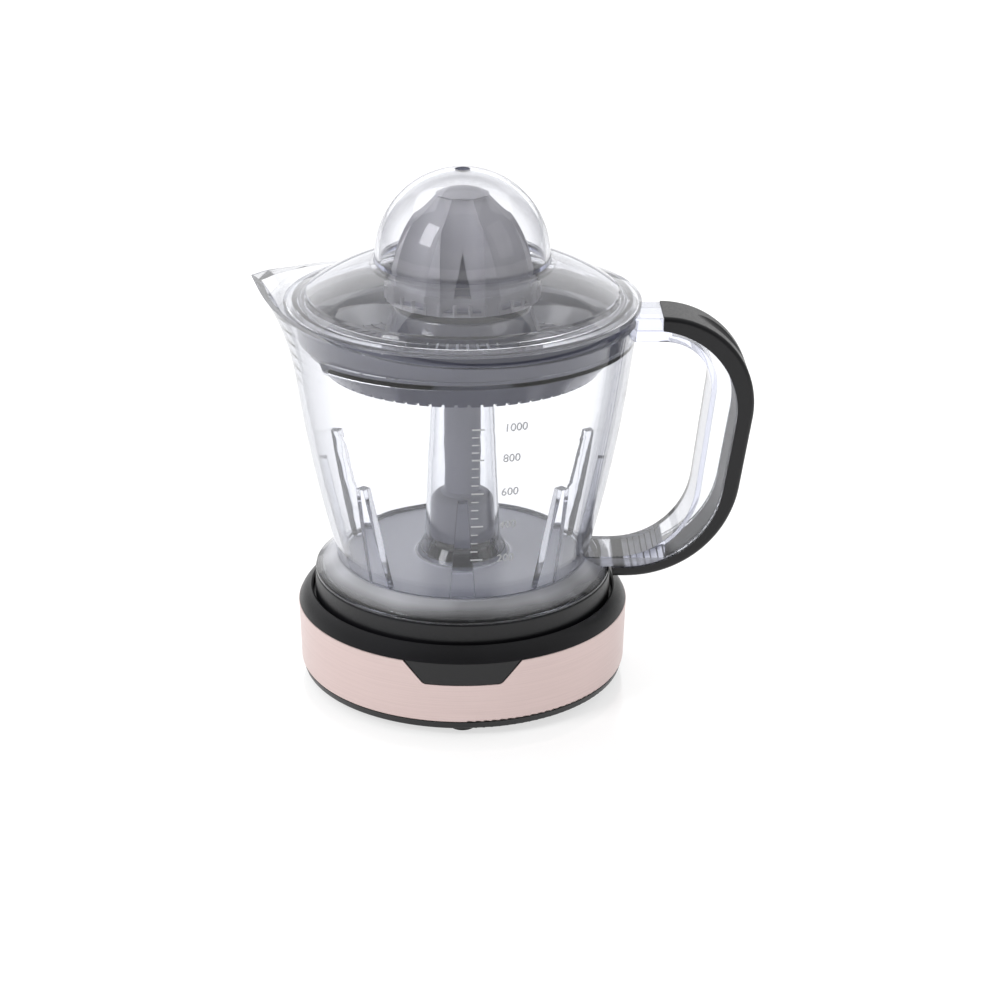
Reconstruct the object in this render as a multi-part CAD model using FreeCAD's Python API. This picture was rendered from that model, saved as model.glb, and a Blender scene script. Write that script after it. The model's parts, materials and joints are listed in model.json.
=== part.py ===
"""Citrus press juicer, built as separate pieces in one frame.

Sizes are in millimetres. Z is up from the table, the front faces -Y, the spout points to -X
and the handle to +X. Pieces are made round the drive axis, then moved together in X so that
the whole stands centred on the origin.
"""
import math
import os

import FreeCAD
import Part

V = FreeCAD.Vector

# Fits
SLIP = 0.15            # gap between fixed pieces that are dropped into each other
LOOSE = 0.4            # gap round pieces that are lifted off by hand
RUN = 0.05             # radial gap of a journal that turns in a bush
PRESS_TRAVEL = 2.0     # how far fruit pushes the cone and its shaft down

# Base shell
BASE_RADIUS = 75.0
BAND_DRAFT = 0.8
BAND_WALL = 2.4
BAND_HEIGHT = 28.6
TABLE_GAP = 3.4
PAN_EDGE = 3.6
PAN_FLOOR = 2.5
PAN_LIP = 7.0
SHELL_WALL = 2.0
FOOT_RADIUS = 6.5
FOOT_RING = BASE_RADIUS - 13.0
FOOT_SINK = 1.5
DECK_RISE = 6.4
DECK_FLOOR = 2.5
RECESS_DEPTH = 4.5
RECESS_RADIUS = BASE_RADIUS - 6.5
BOSS_X = 56.0
BOSS_Y = 26.0
BOSS_RADIUS = 4.0
SCREW_RADIUS = 1.5
SCREW_HEAD_RADIUS = 3.0
SCREW_HEAD = 1.6
BADGE_TOP_HALF = 26.0
BADGE_FOOT_HALF = 17.0
BADGE_HEIGHT = 10.4
BADGE_CORNER = 3.0
GLAND_RADIUS = 5.0
GLAND_FLANGE = 1.6
CORD_BORE = 2.6

# Spindle turret on the deck
TURRET_RADIUS = 13.0
TURRET_WALL = 2.4
TURRET_HEIGHT = 24.5
SEAL_HEIGHT = 2.5

# Gear train
MODULE = 0.8
PRESSURE_ANGLE = math.radians(20)
TOOTH_ADDENDUM = 0.8 * MODULE
TOOTH_DEDENDUM = 1.0 * MODULE
TOOTH_THINNING = 0.08
OUTPUT_TEETH = 48
IDLER_TEETH = 40
PINION_TEETH = 14
SECOND_IDLER_ANGLE = math.radians(170)
FIRST_IDLER_ANGLE = math.radians(108)
ROTOR_ANGLE = math.radians(37)
PLATE_Z = 17.0
PLATE_THICK = 1.5
GEAR_GAP = 0.6
OUTPUT_FACE = 4.5
SECOND_FACE = 3.0
FIRST_FACE = 3.0
PIN_RADIUS = 1.5
POST_RADIUS = 3.5

# Motor
ROTOR_RADIUS = 10.0
AIR_GAP = 0.8
ROTOR_HEIGHT = 12.0
CORE_STACK = 13.0
CORE_Z = 11.5
ARM_WIDTH = 9.0
ARM_GAP = 10.0
POLE_LENGTH = 14.0
COIL_LENGTH = 24.0
COIL_BUILD = 3.0
BOBBIN_WALL = 0.8
YOKE_LENGTH = 10.0

# Spindle and press switch
SPINDLE_RADIUS = 4.0
JOURNAL_RADIUS = 3.1
FLAT_ACROSS = 6.4
SPINDLE_HEX = 7.0
SPINDLE_HEX_LENGTH = 18.0
SWITCH_LENGTH = 20.0
SWITCH_WIDTH = 6.5
SWITCH_HEIGHT = 7.5
BUTTON_RADIUS = 1.6
BUTTON_SHOW = 2.4
BUTTON_LENGTH = 4.6
CAP_HEIGHT = 1.8
SPRING_WIRE = 0.9
SPRING_RADIUS = 6.4
SPRING_TURNS = 5
CLIP_THICK = 1.2

# Jug
COLLAR_RADIUS = RECESS_RADIUS - 1.4
COLLAR_HEIGHT = 12.9
COLLAR_WALL = 2.2
COLLAR_LEDGE = 5.5
COLLAR_WIDTH = 7.0
SKIRT_HEIGHT = 7.9
JUG_WALL = 2.6
JUG_FLOOR = 3.0
RIM_RADIUS = 77.0
RIM_HEIGHT = 112.0
JUG_FOOT_RADIUS = COLLAR_RADIUS - 10.5
WAIST_RADIUS = RIM_RADIUS - 9.6
WAIST_HEIGHT = 46.0
SHOULDER_RADIUS = RIM_RADIUS - 3.7
SHOULDER_HEIGHT = RIM_HEIGHT - 30.3
SPOUT_REACH = RIM_RADIUS + 14.4
SPOUT_RISE = 16.6
SPOUT_TIP_ROUND = 8.0
SPOUT_START = 0.4           # how far the beak stands out where it begins
MOUTH_STEPS = 9             # plan outlines that the upper wall is lofted through
SEAT_DROP = 6.6
SEAT_WIDTH = 2.0
SEAT_THICK = 1.8
SEAT_FOOT = 5.0
SEAT_GAP = 94.0             # the seat is open to the spout over this chord
SEAT_SKIN = 0.4             # wall left outside the root of the seat
RIB_ANGLES = (0, 41.5, -41.5, 80, -80, 112, -112)
RIB_HEIGHT = 49.5
RIB_DEPTH = 4.4
RIB_TOP_WIDTH = 4.0
RIB_FOOT_WIDTH = 11.0
COLUMN_FOOT_RADIUS = 17.4
COLUMN_TOP_RADIUS = 12.6
COLUMN_WALL = 1.7
COLUMN_HEIGHT = RIM_HEIGHT - 11.0

# Handle
HANDLE_WIDTH = 24.0
GRIP_WIDTH = 27.0
GRIP_TOP_LIFT = 1.6        # grip top above the rim
GRIP_TOP_THICK = 5.9
GRIP_SIDE_THICK = 7.0
GRIP_FOOT_THICK = 4.4
GRIP_OUT_TOP = RIM_RADIUS + 57.4   # where the outer side line meets the grip top line
GRIP_OUT_FOOT = COLLAR_RADIUS + 50.1
GRIP_TOP_START = RIM_RADIUS + 10.3
GRIP_FOOT_START = COLLAR_RADIUS + 0.8
GRIP_TOP_ROUND = 41.0
GRIP_FOOT_ROUND = 50.0
LOOP_TOP_ROUND = 21.0
LOOP_FOOT_ROUND = 36.0
GRIP_FOOT_LIFT = 0.9       # grip underside against the collar top
LOOP_TOP_THICK = 5.5
LOOP_SIDE_THICK = 11.2
LOOP_FOOT_THICK = 4.8
LOOP_TOP_EXTRA = 3.0       # the clear arm is this much thicker at its upper bend
HANDLE_WEB = 2.4
HANDLE_FLANGE = 2.4
GRIP_EDGE_ROUND = 2.0
THUMB_RADIUS = 11.0
THUMB_DEPTH = 1.6

# Strainer
STRAINER_WALL = 1.8
STRAINER_RIM_HEIGHT = 11.2
STRAINER_DEPTH = 15.2
STRAINER_FOOT_RADIUS = RIM_RADIUS - 15.7
BEND_DROP = 4.4            # where the bowl starts to narrow, below the seat
BEND_IN = 1.0
BEND_ROUND = 4.0
FLOOR_RISE = 2.4
SLOT_COUNT = 72
SLOT_WIDTH = 1.5
SLOT_INNER = 43.0
SLOT_NOTCH = 1.2           # how far the slots run out past the foot of the bowl
HUB_FOOT_RADIUS = 38.0
HUB_TOP_RADIUS = 30.0
HUB_TOP_RISE = 10.6        # hub platform above the strainer seat
HUB_TUBE_DROP = 30.0
BUSH_RADIUS = 12.5
BUSH_DEPTH = 8.0
BUSH_FLANGE_RADIUS = 16.0
BUSH_FLANGE = 1.4

# Cones
CONE_GAP = 0.4             # left under the cone flange when the cone is fully pressed
CONE_HUB_HEX = 17.0
CONE_HUB_LENGTH = 14.0
SHAFT_HEX = 12.0
SHAFT_HEX_LENGTH = 30.0
CONE_FLANGE = 2.0
CONE_SKIRT_RADIUS = 33.4
CONE_SKIRT_HEIGHT = 8.0
CONE_WALL = 1.9
CONE_HEIGHT = 48.4
SKIRT_RIBS = 32
FLUTES = 8
FLUTE_RADIUS = 10.0
FLUTE_DEPTH = 6.9
FLUTE_MIDDLE_IN = 7.1
FLUTE_TOP_IN = 18.5
WINDOW_WIDTH = 7.4
WINDOW_SHARE = 0.42
CONE_CAVITY_GAP = 3.0
SKIRT_RIB_RADIUS = 0.9
LEMON_RADIUS = 20.0
LEMON_HEIGHT = 36.0

# Drive shaft
SHAFT_RADIUS = 8.2
SHAFT_COLLAR_RADIUS = 14.4
SHAFT_COLLAR_HEIGHT = 16.0
SHAFT_SHOULDER = 5.0
SHAFT_TURRET_GAP = 4.0

# Dust cover
LID_RADIUS = RIM_RADIUS + 1.2
LID_WALL = 2.0
LID_RIM_HEIGHT = 2.2
LID_STEP_RADIUS = LID_RADIUS - 10.2
LID_STEP_RISE = 6.4
LID_BRIM_RISE = 18.8
DOME_RADIUS = 38.3
DOME_FOOT_WIDTH = 2.4
DOME_LIFT = 2.6
VENT_RADIUS = 3.2

# Heights of the stack, from the table up
Z_PAN = TABLE_GAP
Z_PAN_FLOOR = Z_PAN + PAN_FLOOR
Z_BAND = Z_PAN + PAN_EDGE
Z_DECK = Z_BAND + BAND_HEIGHT
Z_CREST = Z_DECK + DECK_RISE
Z_RECESS = Z_CREST - RECESS_DEPTH
Z_DECK_UNDER = Z_RECESS - DECK_FLOOR
Z_TURRET = Z_RECESS + TURRET_HEIGHT
Z_COLLAR_TOP = Z_RECESS + COLLAR_HEIGHT
Z_WALL_FOOT = Z_COLLAR_TOP + SKIRT_HEIGHT
Z_JUG_FLOOR = Z_WALL_FOOT - 0.9
Z_SHOULDER = Z_WALL_FOOT + SHOULDER_HEIGHT
Z_RIM = Z_WALL_FOOT + RIM_HEIGHT
Z_SEAT = Z_RIM - SEAT_DROP
Z_STRAINER_TOP = Z_SEAT + STRAINER_RIM_HEIGHT
Z_STRAINER_FOOT = Z_SEAT - STRAINER_DEPTH
Z_FLOOR_TOP = Z_STRAINER_FOOT + FLOOR_RISE
Z_BEND = Z_SEAT - BEND_DROP
Z_HUB_TOP = Z_SEAT + HUB_TOP_RISE
Z_BUSH_TOP = Z_HUB_TOP + BUSH_FLANGE
Z_CONE = Z_BUSH_TOP + PRESS_TRAVEL + CONE_GAP
Z_CONE_TOP = Z_CONE + CONE_HEIGHT
Z_COLUMN_TOP = Z_JUG_FLOOR + COLUMN_HEIGHT
Z_SHAFT = Z_TURRET + SHAFT_TURRET_GAP
Z_SHAFT_HEX = Z_CONE - CONE_HUB_LENGTH - PRESS_TRAVEL
Z_SHAFT_TOP = Z_SHAFT_HEX + SHAFT_HEX_LENGTH

# Gear planes, from the gear plate up
Z_OUTPUT = PLATE_Z + PLATE_THICK + 2.0
Z_SECOND = Z_OUTPUT + OUTPUT_FACE + GEAR_GAP
Z_FIRST = Z_SECOND + SECOND_FACE + GEAR_GAP
Z_TOP_PLATE = Z_FIRST + FIRST_FACE + GEAR_GAP

# Plan positions of the gear train
OUTPUT_PITCH = MODULE * OUTPUT_TEETH / 2
IDLER_PITCH = MODULE * IDLER_TEETH / 2
PINION_PITCH = MODULE * PINION_TEETH / 2


def step_from(spot, angle, distance):
    """Plan position at a distance and angle from another."""
    return (spot[0] + distance * math.cos(angle), spot[1] + distance * math.sin(angle))


OUTPUT_SPOT = (0.0, 0.0)
SECOND_SPOT = step_from(OUTPUT_SPOT, SECOND_IDLER_ANGLE, OUTPUT_PITCH + PINION_PITCH)
FIRST_SPOT = step_from(SECOND_SPOT, FIRST_IDLER_ANGLE, IDLER_PITCH + PINION_PITCH)
ROTOR_SPOT = step_from(FIRST_SPOT, ROTOR_ANGLE, IDLER_PITCH + PINION_PITCH)


# Shape helpers
def section(across, up):
    """Point in the XZ plane."""
    return V(across, 0, up)


def plan(across, along):
    """Point in the XY plane."""
    return V(across, along, 0)


def outline(points, place):
    """Closed wire; a third number rounds that corner, a "via" point bends its stretch into an arc."""
    corners = []
    bends = {}
    for point in points:
        if point[0] == "via":
            bends[len(corners) - 1] = place(point[1], point[2])
        else:
            corners.append(point)
    total = len(corners)
    spots = [place(corner[0], corner[1]) for corner in corners]
    entries = list(spots)
    exits = list(spots)
    middles = {}
    for index in range(total):
        radius = corners[index][2] if len(corners[index]) > 2 else 0
        if radius == 0:
            continue
        here = spots[index]
        back = (spots[index - 1] - here).normalize()
        ahead = (spots[(index + 1) % total] - here).normalize()
        half = back.getAngle(ahead) / 2
        reach = radius / math.tan(half)
        entries[index] = here + back * reach
        exits[index] = here + ahead * reach
        inward = (back + ahead).normalize()
        middles[index] = here + inward * (radius / math.sin(half) - radius)
    edges = []
    for index in range(total):
        if index in middles:
            edges.append(Part.Arc(entries[index], middles[index], exits[index]).toShape())
        start = exits[index]
        end = entries[(index + 1) % total]
        if index in bends:
            edges.append(Part.Arc(start, bends[index], end).toShape())
        elif start.distanceToPoint(end) > 1e-6:
            edges.append(Part.makeLine(start, end))
    return Part.Wire(edges)


def lathe(points):
    """Solid of revolution about Z from an XZ outline."""
    face = Part.Face(outline(points, section))
    return face.revolve(V(0, 0, 0), V(0, 0, 1), 360)


def side_slab(points, half_width):
    """XZ outline pushed out to both sides of Y = 0."""
    face = Part.Face(outline(points, section))
    face.translate(V(0, -half_width, 0))
    return face.extrude(V(0, 2 * half_width, 0))


def plan_slab(points, low, high):
    """XY outline pushed up between two heights."""
    face = Part.Face(outline(points, plan))
    face.translate(V(0, 0, low))
    return face.extrude(V(0, 0, high - low))


def rod(radius, low, high, spot=(0, 0)):
    """Upright cylinder."""
    return Part.makeCylinder(radius, high - low, V(spot[0], spot[1], low))


def tube(outer, inner, low, high, spot=(0, 0)):
    """Upright tube."""
    return rod(outer, low, high, spot).cut(rod(inner, low, high, spot))


def hex_bar(across, low, high, spot=(0, 0)):
    """Upright hexagonal bar, sized across its flats."""
    reach = across / math.sqrt(3)
    corners = [step_from(spot, math.radians(60 * turn), reach) for turn in range(6)]
    return plan_slab(corners, low, high)


def box(x_low, x_high, y_low, y_high, z_low, z_high):
    """Box between limits."""
    return Part.makeBox(x_high - x_low, y_high - y_low, z_high - z_low, V(x_low, y_low, z_low))


def bent_bar(low, middle, high, radius):
    """Round bar along the arc through three points."""
    arc = Part.ArcOfCircle(low, middle, high)
    heading = arc.tangent(arc.FirstParameter)[0]
    disc = Part.Face(Part.Wire(Part.makeCircle(radius, low, heading)))
    sweep = math.degrees(arc.LastParameter - arc.FirstParameter)
    return disc.revolve(arc.Center, arc.Axis, sweep)


def turned(shape, degrees):
    """Copy turned about the drive axis."""
    copy = shape.copy()
    copy.rotate(V(0, 0, 0), V(0, 0, 1), degrees)
    return copy


def moved(shape, spot):
    """Copy moved in plan."""
    copy = shape.copy()
    copy.translate(V(spot[0], spot[1], 0))
    return copy


def joined(shapes):
    """One solid from overlapping or touching solids."""
    return shapes[0].fuse(shapes[1:]).removeSplitter()


def corner_spots():
    """Plan positions of the four shell screws."""
    return [(x * BOSS_X, y * BOSS_Y) for x in (-1, 1) for y in (-1, 1)]


# Gears
def involute(angle):
    """Involute function of a pressure angle."""
    return math.tan(angle) - angle


def tooth_half_angle(teeth, radius):
    """Half the angle that a tooth takes up at a radius."""
    pitch = MODULE * teeth / 2
    base = pitch * math.cos(PRESSURE_ANGLE)
    at_pitch = math.pi / (2 * teeth) - TOOTH_THINNING / (2 * pitch)
    local = math.acos(min(1.0, base / radius))
    return at_pitch + involute(PRESSURE_ANGLE) - involute(local)


def flank(teeth, centre_angle, side, radii):
    """Points of one tooth flank, in the order of the radii."""
    points = []
    for radius in radii:
        angle = centre_angle + side * tooth_half_angle(teeth, radius)
        points.append(V(radius * math.cos(angle), radius * math.sin(angle), 0))
    return points


def gear(teeth, low, high, spot, phase):
    """Spur gear without a bore; phase is the angle of one tooth."""
    pitch = MODULE * teeth / 2
    base = pitch * math.cos(PRESSURE_ANGLE)
    root = pitch - TOOTH_DEDENDUM
    tip = pitch + TOOTH_ADDENDUM
    start = max(base, root)
    rising = [start + (tip - start) * part / 4 for part in range(5)]
    step = 2 * math.pi / teeth
    edges = []
    for tooth in range(teeth):
        centre = phase + tooth * step
        up = flank(teeth, centre, -1, rising)
        down = flank(teeth, centre, 1, rising)
        foot_half = tooth_half_angle(teeth, start)
        root_in = V(root * math.cos(centre - foot_half), root * math.sin(centre - foot_half), 0)
        root_out = V(root * math.cos(centre + foot_half), root * math.sin(centre + foot_half), 0)
        if start > root:
            edges.append(Part.makeLine(root_in, up[0]))
        rise = Part.BSplineCurve()
        rise.interpolate(up)
        edges.append(rise.toShape())
        crown = V(tip * math.cos(centre), tip * math.sin(centre), 0)
        edges.append(Part.Arc(up[-1], crown, down[-1]).toShape())
        fall = Part.BSplineCurve()
        fall.interpolate(down[::-1])
        edges.append(fall.toShape())
        if start > root:
            edges.append(Part.makeLine(down[0], root_out))
        middle = centre + step / 2
        valley = V(root * math.cos(middle), root * math.sin(middle), 0)
        next_in = centre + step - foot_half
        landing = V(root * math.cos(next_in), root * math.sin(next_in), 0)
        edges.append(Part.Arc(root_out, valley, landing).toShape())
    face = Part.Face(Part.Wire(Part.__sortEdges__(edges)))
    solid = face.extrude(V(0, 0, high - low))
    solid.translate(V(spot[0], spot[1], low))
    return solid


def meshed_phase(spot, teeth, phase, next_spot, next_teeth):
    """Tooth angle of the next gear that sets its gap on this gear's tooth."""
    direction = math.atan2(next_spot[1] - spot[1], next_spot[0] - spot[0])
    radius = MODULE * teeth / 2
    next_radius = MODULE * next_teeth / 2
    half_pitch = math.pi * MODULE / 2
    return direction + math.pi - (radius * (phase - direction) + half_pitch) / next_radius


# Base shell
BAND_TOP_RADIUS = BASE_RADIUS
BAND_FOOT_RADIUS = BASE_RADIUS - BAND_DRAFT
BAND_INNER = BAND_FOOT_RADIUS - BAND_WALL
LIP_RADIUS = BAND_INNER - SLIP
Z_GLAND = Z_BAND + PAN_LIP + GLAND_RADIUS + 3.0
Z_BOSS_SPLIT = Z_PAN + 10.6


def badge_outline(inset):
    """Front plate outline, shrunk all round by an inset."""
    top = Z_DECK + 1.0
    foot = Z_DECK - BADGE_HEIGHT + inset
    lean = (BADGE_TOP_HALF - BADGE_FOOT_HALF) / BADGE_HEIGHT
    top_half = BADGE_TOP_HALF + lean - inset
    foot_half = BADGE_FOOT_HALF - inset
    return [
        (-top_half, top),
        (-foot_half, foot, BADGE_CORNER),
        (foot_half, foot, BADGE_CORNER),
        (top_half, top),
    ]


def badge_prism(inset):
    """Front-facing prism of the badge outline."""
    face = Part.Face(outline(badge_outline(inset), section))
    face.translate(V(0, -BASE_RADIUS - 5, 0))
    return face.extrude(V(0, BASE_RADIUS / 2, 0))


def gland_rod(radius, y_low, y_high):
    """Cylinder along Y at the cord gland."""
    return Part.makeCylinder(radius, y_high - y_low, V(0, y_low, Z_GLAND), V(0, 1, 0))


def make_base_pan():
    inner = LIP_RADIUS - SHELL_WALL
    pan = lathe([
        (0, Z_PAN),
        (BAND_FOOT_RADIUS - 1.4, Z_PAN, 1.2),
        (BAND_FOOT_RADIUS - 0.3, Z_BAND),
        (LIP_RADIUS, Z_BAND),
        (LIP_RADIUS, Z_BAND + PAN_LIP, 0.6),
        (inner, Z_BAND + PAN_LIP, 0.6),
        (inner, Z_PAN_FLOOR, 1.0),
        (0, Z_PAN_FLOOR),
    ])
    bosses = [rod(BOSS_RADIUS, Z_PAN_FLOOR - 0.5, Z_BOSS_SPLIT, spot) for spot in corner_spots()]
    posts = [rod(POST_RADIUS, Z_PAN_FLOOR - 0.5, PLATE_Z, spot) for spot in post_spots()]
    ledges = [
        box(core_left() + 2, core_left() + 8, edge[0], edge[1], Z_PAN_FLOOR - 0.5, CORE_Z)
        for edge in core_edges()
    ]
    yoke_ledge = box(
        core_right() - YOKE_LENGTH + 2, core_right() - 2,
        ROTOR_SPOT[1] - 8, ROTOR_SPOT[1] + 8, Z_PAN_FLOOR - 0.5, CORE_Z,
    )
    pan = joined([pan] + bosses + posts + ledges + [yoke_ledge])
    for spot in corner_spots():
        pan = pan.cut(rod(SCREW_RADIUS + 0.3, Z_PAN - 1, Z_BOSS_SPLIT + 1, spot))
        pan = pan.cut(rod(SCREW_HEAD_RADIUS + SLIP, Z_PAN - 1, Z_PAN + SCREW_HEAD, spot))
    for spot in post_spots():
        pan = pan.cut(rod(SCREW_RADIUS, PLATE_Z - 7, PLATE_Z + 1, spot))
    for turn in range(4):
        spot = step_from((0, 0), math.radians(90 * turn), FOOT_RING)
        pan = pan.cut(rod(FOOT_RADIUS - 0.8 + SLIP, Z_PAN - 1, Z_PAN + FOOT_SINK, spot))
    return pan


def make_trim_band():
    band = lathe([
        (BAND_INNER, Z_BAND, 0.3),
        (BAND_FOOT_RADIUS, Z_BAND, 1.2),
        (BAND_TOP_RADIUS, Z_DECK, 0.3),
        (BAND_INNER, Z_DECK, 0.3),
    ])
    band = band.cut(badge_prism(0))
    return band.cut(gland_rod(GLAND_RADIUS + SLIP, 0, BASE_RADIUS + 5))


def make_front_badge():
    ring = tube(BAND_TOP_RADIUS - 0.7, BAND_INNER, Z_BAND, Z_DECK)
    return ring.common(badge_prism(SLIP))


def make_cord_gland():
    outside = math.sqrt(BASE_RADIUS ** 2 - (GLAND_RADIUS + 2) ** 2)
    body = gland_rod(GLAND_RADIUS, BAND_INNER - 4, BASE_RADIUS + 0.6)
    flange = gland_rod(GLAND_RADIUS + 1.6, BASE_RADIUS + 0.6, BASE_RADIUS + 0.6 + GLAND_FLANGE)
    inner_lip = gland_rod(GLAND_RADIUS + 1.2, BAND_INNER - 4, outside - BAND_WALL - 1.4)
    gland = joined([body, flange, inner_lip])
    return gland.cut(gland_rod(CORD_BORE, 0, BASE_RADIUS + 10))


def make_foot_pads():
    pad = lathe([
        (0, 0),
        (FOOT_RADIUS - 0.4, 0, 0.8),
        (FOOT_RADIUS, Z_PAN),
        (FOOT_RADIUS - 0.8, Z_PAN),
        (FOOT_RADIUS - 0.8, Z_PAN + FOOT_SINK),
        (0, Z_PAN + FOOT_SINK),
    ])
    return [moved(pad, step_from((0, 0), math.radians(90 * turn), FOOT_RING)) for turn in range(4)]


def make_screw(low, length, spot):
    """Pan-head screw, head down."""
    head = rod(SCREW_HEAD_RADIUS, low, low + SCREW_HEAD, spot)
    shank = rod(SCREW_RADIUS, low, low + length, spot)
    arm = SCREW_HEAD_RADIUS * 0.62
    cross = box(spot[0] - arm, spot[0] + arm, spot[1] - 0.35, spot[1] + 0.35, low - 1, low + 0.9)
    other = box(spot[0] - 0.35, spot[0] + 0.35, spot[1] - arm, spot[1] + arm, low - 1, low + 0.9)
    return joined([head, shank]).cut(cross.fuse(other))


def make_pan_screws():
    return [make_screw(Z_PAN, Z_BOSS_SPLIT - Z_PAN + 9, spot) for spot in corner_spots()]


def make_top_deck():
    inner_lip = LIP_RADIUS - SHELL_WALL
    turret_inner = TURRET_RADIUS - TURRET_WALL
    deck = lathe([
        (BASE_RADIUS - 0.2, Z_DECK),
        ("via", BASE_RADIUS - 2.6, Z_DECK + DECK_RISE * 0.6),
        (RECESS_RADIUS + 0.8, Z_CREST),
        (RECESS_RADIUS, Z_CREST - 0.5),
        (RECESS_RADIUS, Z_RECESS, 0.5),
        (TURRET_RADIUS, Z_RECESS, 2.0),
        (TURRET_RADIUS, Z_TURRET, 0.8),
        (turret_inner, Z_TURRET),
        (turret_inner, Z_DECK_UNDER),
        (inner_lip, Z_DECK_UNDER),
        (inner_lip, Z_DECK - 4.5),
        (LIP_RADIUS, Z_DECK - 4.5),
        (LIP_RADIUS, Z_DECK),
    ])
    seal_seat = Z_TURRET - SEAL_HEIGHT
    ledge = tube(TURRET_RADIUS - 1, SPINDLE_RADIUS + 1.4, seal_seat - 1.5, seal_seat)
    bosses = [rod(BOSS_RADIUS, Z_BOSS_SPLIT, Z_DECK_UNDER + 0.5, spot) for spot in corner_spots()]
    deck = joined([deck, ledge] + bosses)
    for spot in corner_spots():
        deck = deck.cut(rod(SCREW_RADIUS, Z_BOSS_SPLIT - 1, Z_BOSS_SPLIT + 12, spot))
    return deck


def make_spindle_seal():
    outer = TURRET_RADIUS - TURRET_WALL
    return lathe([
        (SPINDLE_RADIUS + RUN, Z_TURRET - SEAL_HEIGHT + 0.8),
        (SPINDLE_RADIUS + 1.6, Z_TURRET - SEAL_HEIGHT),
        (outer, Z_TURRET - SEAL_HEIGHT),
        (outer, Z_TURRET - 0.4),
        (SPINDLE_RADIUS + 2.4, Z_TURRET - 0.4),
        (SPINDLE_RADIUS + RUN, Z_TURRET - SEAL_HEIGHT + 1.6),
    ])


# Gearbox frame
def post_spots():
    """Plan positions of the posts that carry the gear plate."""
    near = OUTPUT_PITCH * 0.68
    far = SECOND_SPOT[0] - IDLER_PITCH * 0.8
    return [(near, -near), (near, near), (far, -near), (far, near)]


def pillar_spots():
    """Plan positions of the pillars between the plates, clear of every wheel."""
    clear = OUTPUT_PITCH + TOOTH_ADDENDUM + POST_RADIUS + 0.6
    left = SECOND_SPOT[0] - IDLER_PITCH - TOOTH_ADDENDUM - POST_RADIUS - 0.6
    return [
        step_from((0, 0), math.radians(-25), clear),
        step_from((0, 0), math.radians(30), clear),
        (left, SECOND_SPOT[1] - 8),
    ]


def frame_plate(low):
    """Plate that ties the pillars and gear pins together."""
    pillars = pillar_spots()
    margin = POST_RADIUS + 1.5
    right = max(pillars[0][0], pillars[1][0]) + margin
    front = min(pillars[0][1], post_spots()[0][1]) - margin
    back = post_spots()[1][1] + margin
    left = pillars[2][0] - margin
    ear_right = core_left() - 0.8
    ear_back = FIRST_SPOT[1] + 5.0
    return plan_slab([
        (right, front, 4.0),
        (right, back, 4.0),
        (ear_right, back, 1.0),
        (ear_right, ear_back, 2.0),
        (FIRST_SPOT[0] - 6.0, ear_back, 3.0),
        (left, back - 2.0, 4.0),
        (left, front, 4.0),
    ], low, low + PLATE_THICK)


def make_gear_plate():
    plate = frame_plate(PLATE_Z)
    for spot in post_spots():
        plate = plate.cut(rod(SCREW_RADIUS + SLIP, PLATE_Z - 1, PLATE_Z + PLATE_THICK + 1, spot))
    for spot in (FIRST_SPOT, SECOND_SPOT):
        plate = plate.cut(rod(PIN_RADIUS, PLATE_Z - 1, PLATE_Z + PLATE_THICK + 1, spot))
    for spot in pillar_spots():
        plate = plate.cut(rod(SCREW_RADIUS, PLATE_Z - 1, PLATE_Z + PLATE_THICK + 1, spot))
    return plate.cut(rod(JOURNAL_RADIUS + 2, PLATE_Z - 1, PLATE_Z + PLATE_THICK + 1))


def make_gear_top_plate():
    plate = frame_plate(Z_TOP_PLATE)
    reach = POST_RADIUS + 2.0
    arm = plan_slab([
        (FIRST_SPOT[0] - 6.0, FIRST_SPOT[1] - 2.0, 2.0),
        (ROTOR_SPOT[0] + reach, FIRST_SPOT[1] - 2.0, 2.0),
        (ROTOR_SPOT[0] + reach, ROTOR_SPOT[1] + reach, 3.0),
        (ROTOR_SPOT[0] - reach, ROTOR_SPOT[1] + reach, 3.0),
        (FIRST_SPOT[0] - 6.0, FIRST_SPOT[1] + 4.0, 2.0),
    ], Z_TOP_PLATE, Z_TOP_PLATE + PLATE_THICK)
    plate = joined([plate, arm])
    low = Z_TOP_PLATE - 1
    high = Z_TOP_PLATE + PLATE_THICK + 1
    for spot in (FIRST_SPOT, SECOND_SPOT):
        plate = plate.cut(rod(PIN_RADIUS, low, high, spot))
    for spot in pillar_spots():
        plate = plate.cut(rod(SCREW_RADIUS, low, high, spot))
    plate = plate.cut(rod(ROTOR_SHAFT_RADIUS + RUN, low, high, ROTOR_SPOT))
    return plate.cut(rod(SPINDLE_RADIUS + 2, low, high))


def make_plate_pillars():
    low = PLATE_Z + PLATE_THICK
    pillars = []
    for spot in pillar_spots():
        barrel = rod(POST_RADIUS, low, Z_TOP_PLATE, spot)
        tails = rod(SCREW_RADIUS, PLATE_Z, Z_TOP_PLATE + PLATE_THICK, spot)
        pillars.append(joined([barrel, tails]))
    return pillars


def make_plate_screws():
    screws = []
    for spot in post_spots():
        high = PLATE_Z + PLATE_THICK
        head = rod(SCREW_HEAD_RADIUS, high, high + SCREW_HEAD, spot)
        shank = rod(SCREW_RADIUS, PLATE_Z - 6, high, spot)
        arm = SCREW_HEAD_RADIUS * 0.62
        cross = box(spot[0] - arm, spot[0] + arm, spot[1] - 0.35, spot[1] + 0.35, high + 0.7, high + 3)
        screws.append(joined([head, shank]).cut(cross))
    return screws


def make_idler_pins():
    return [rod(PIN_RADIUS, PLATE_Z, Z_TOP_PLATE + PLATE_THICK, spot) for spot in (FIRST_SPOT, SECOND_SPOT)]


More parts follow.
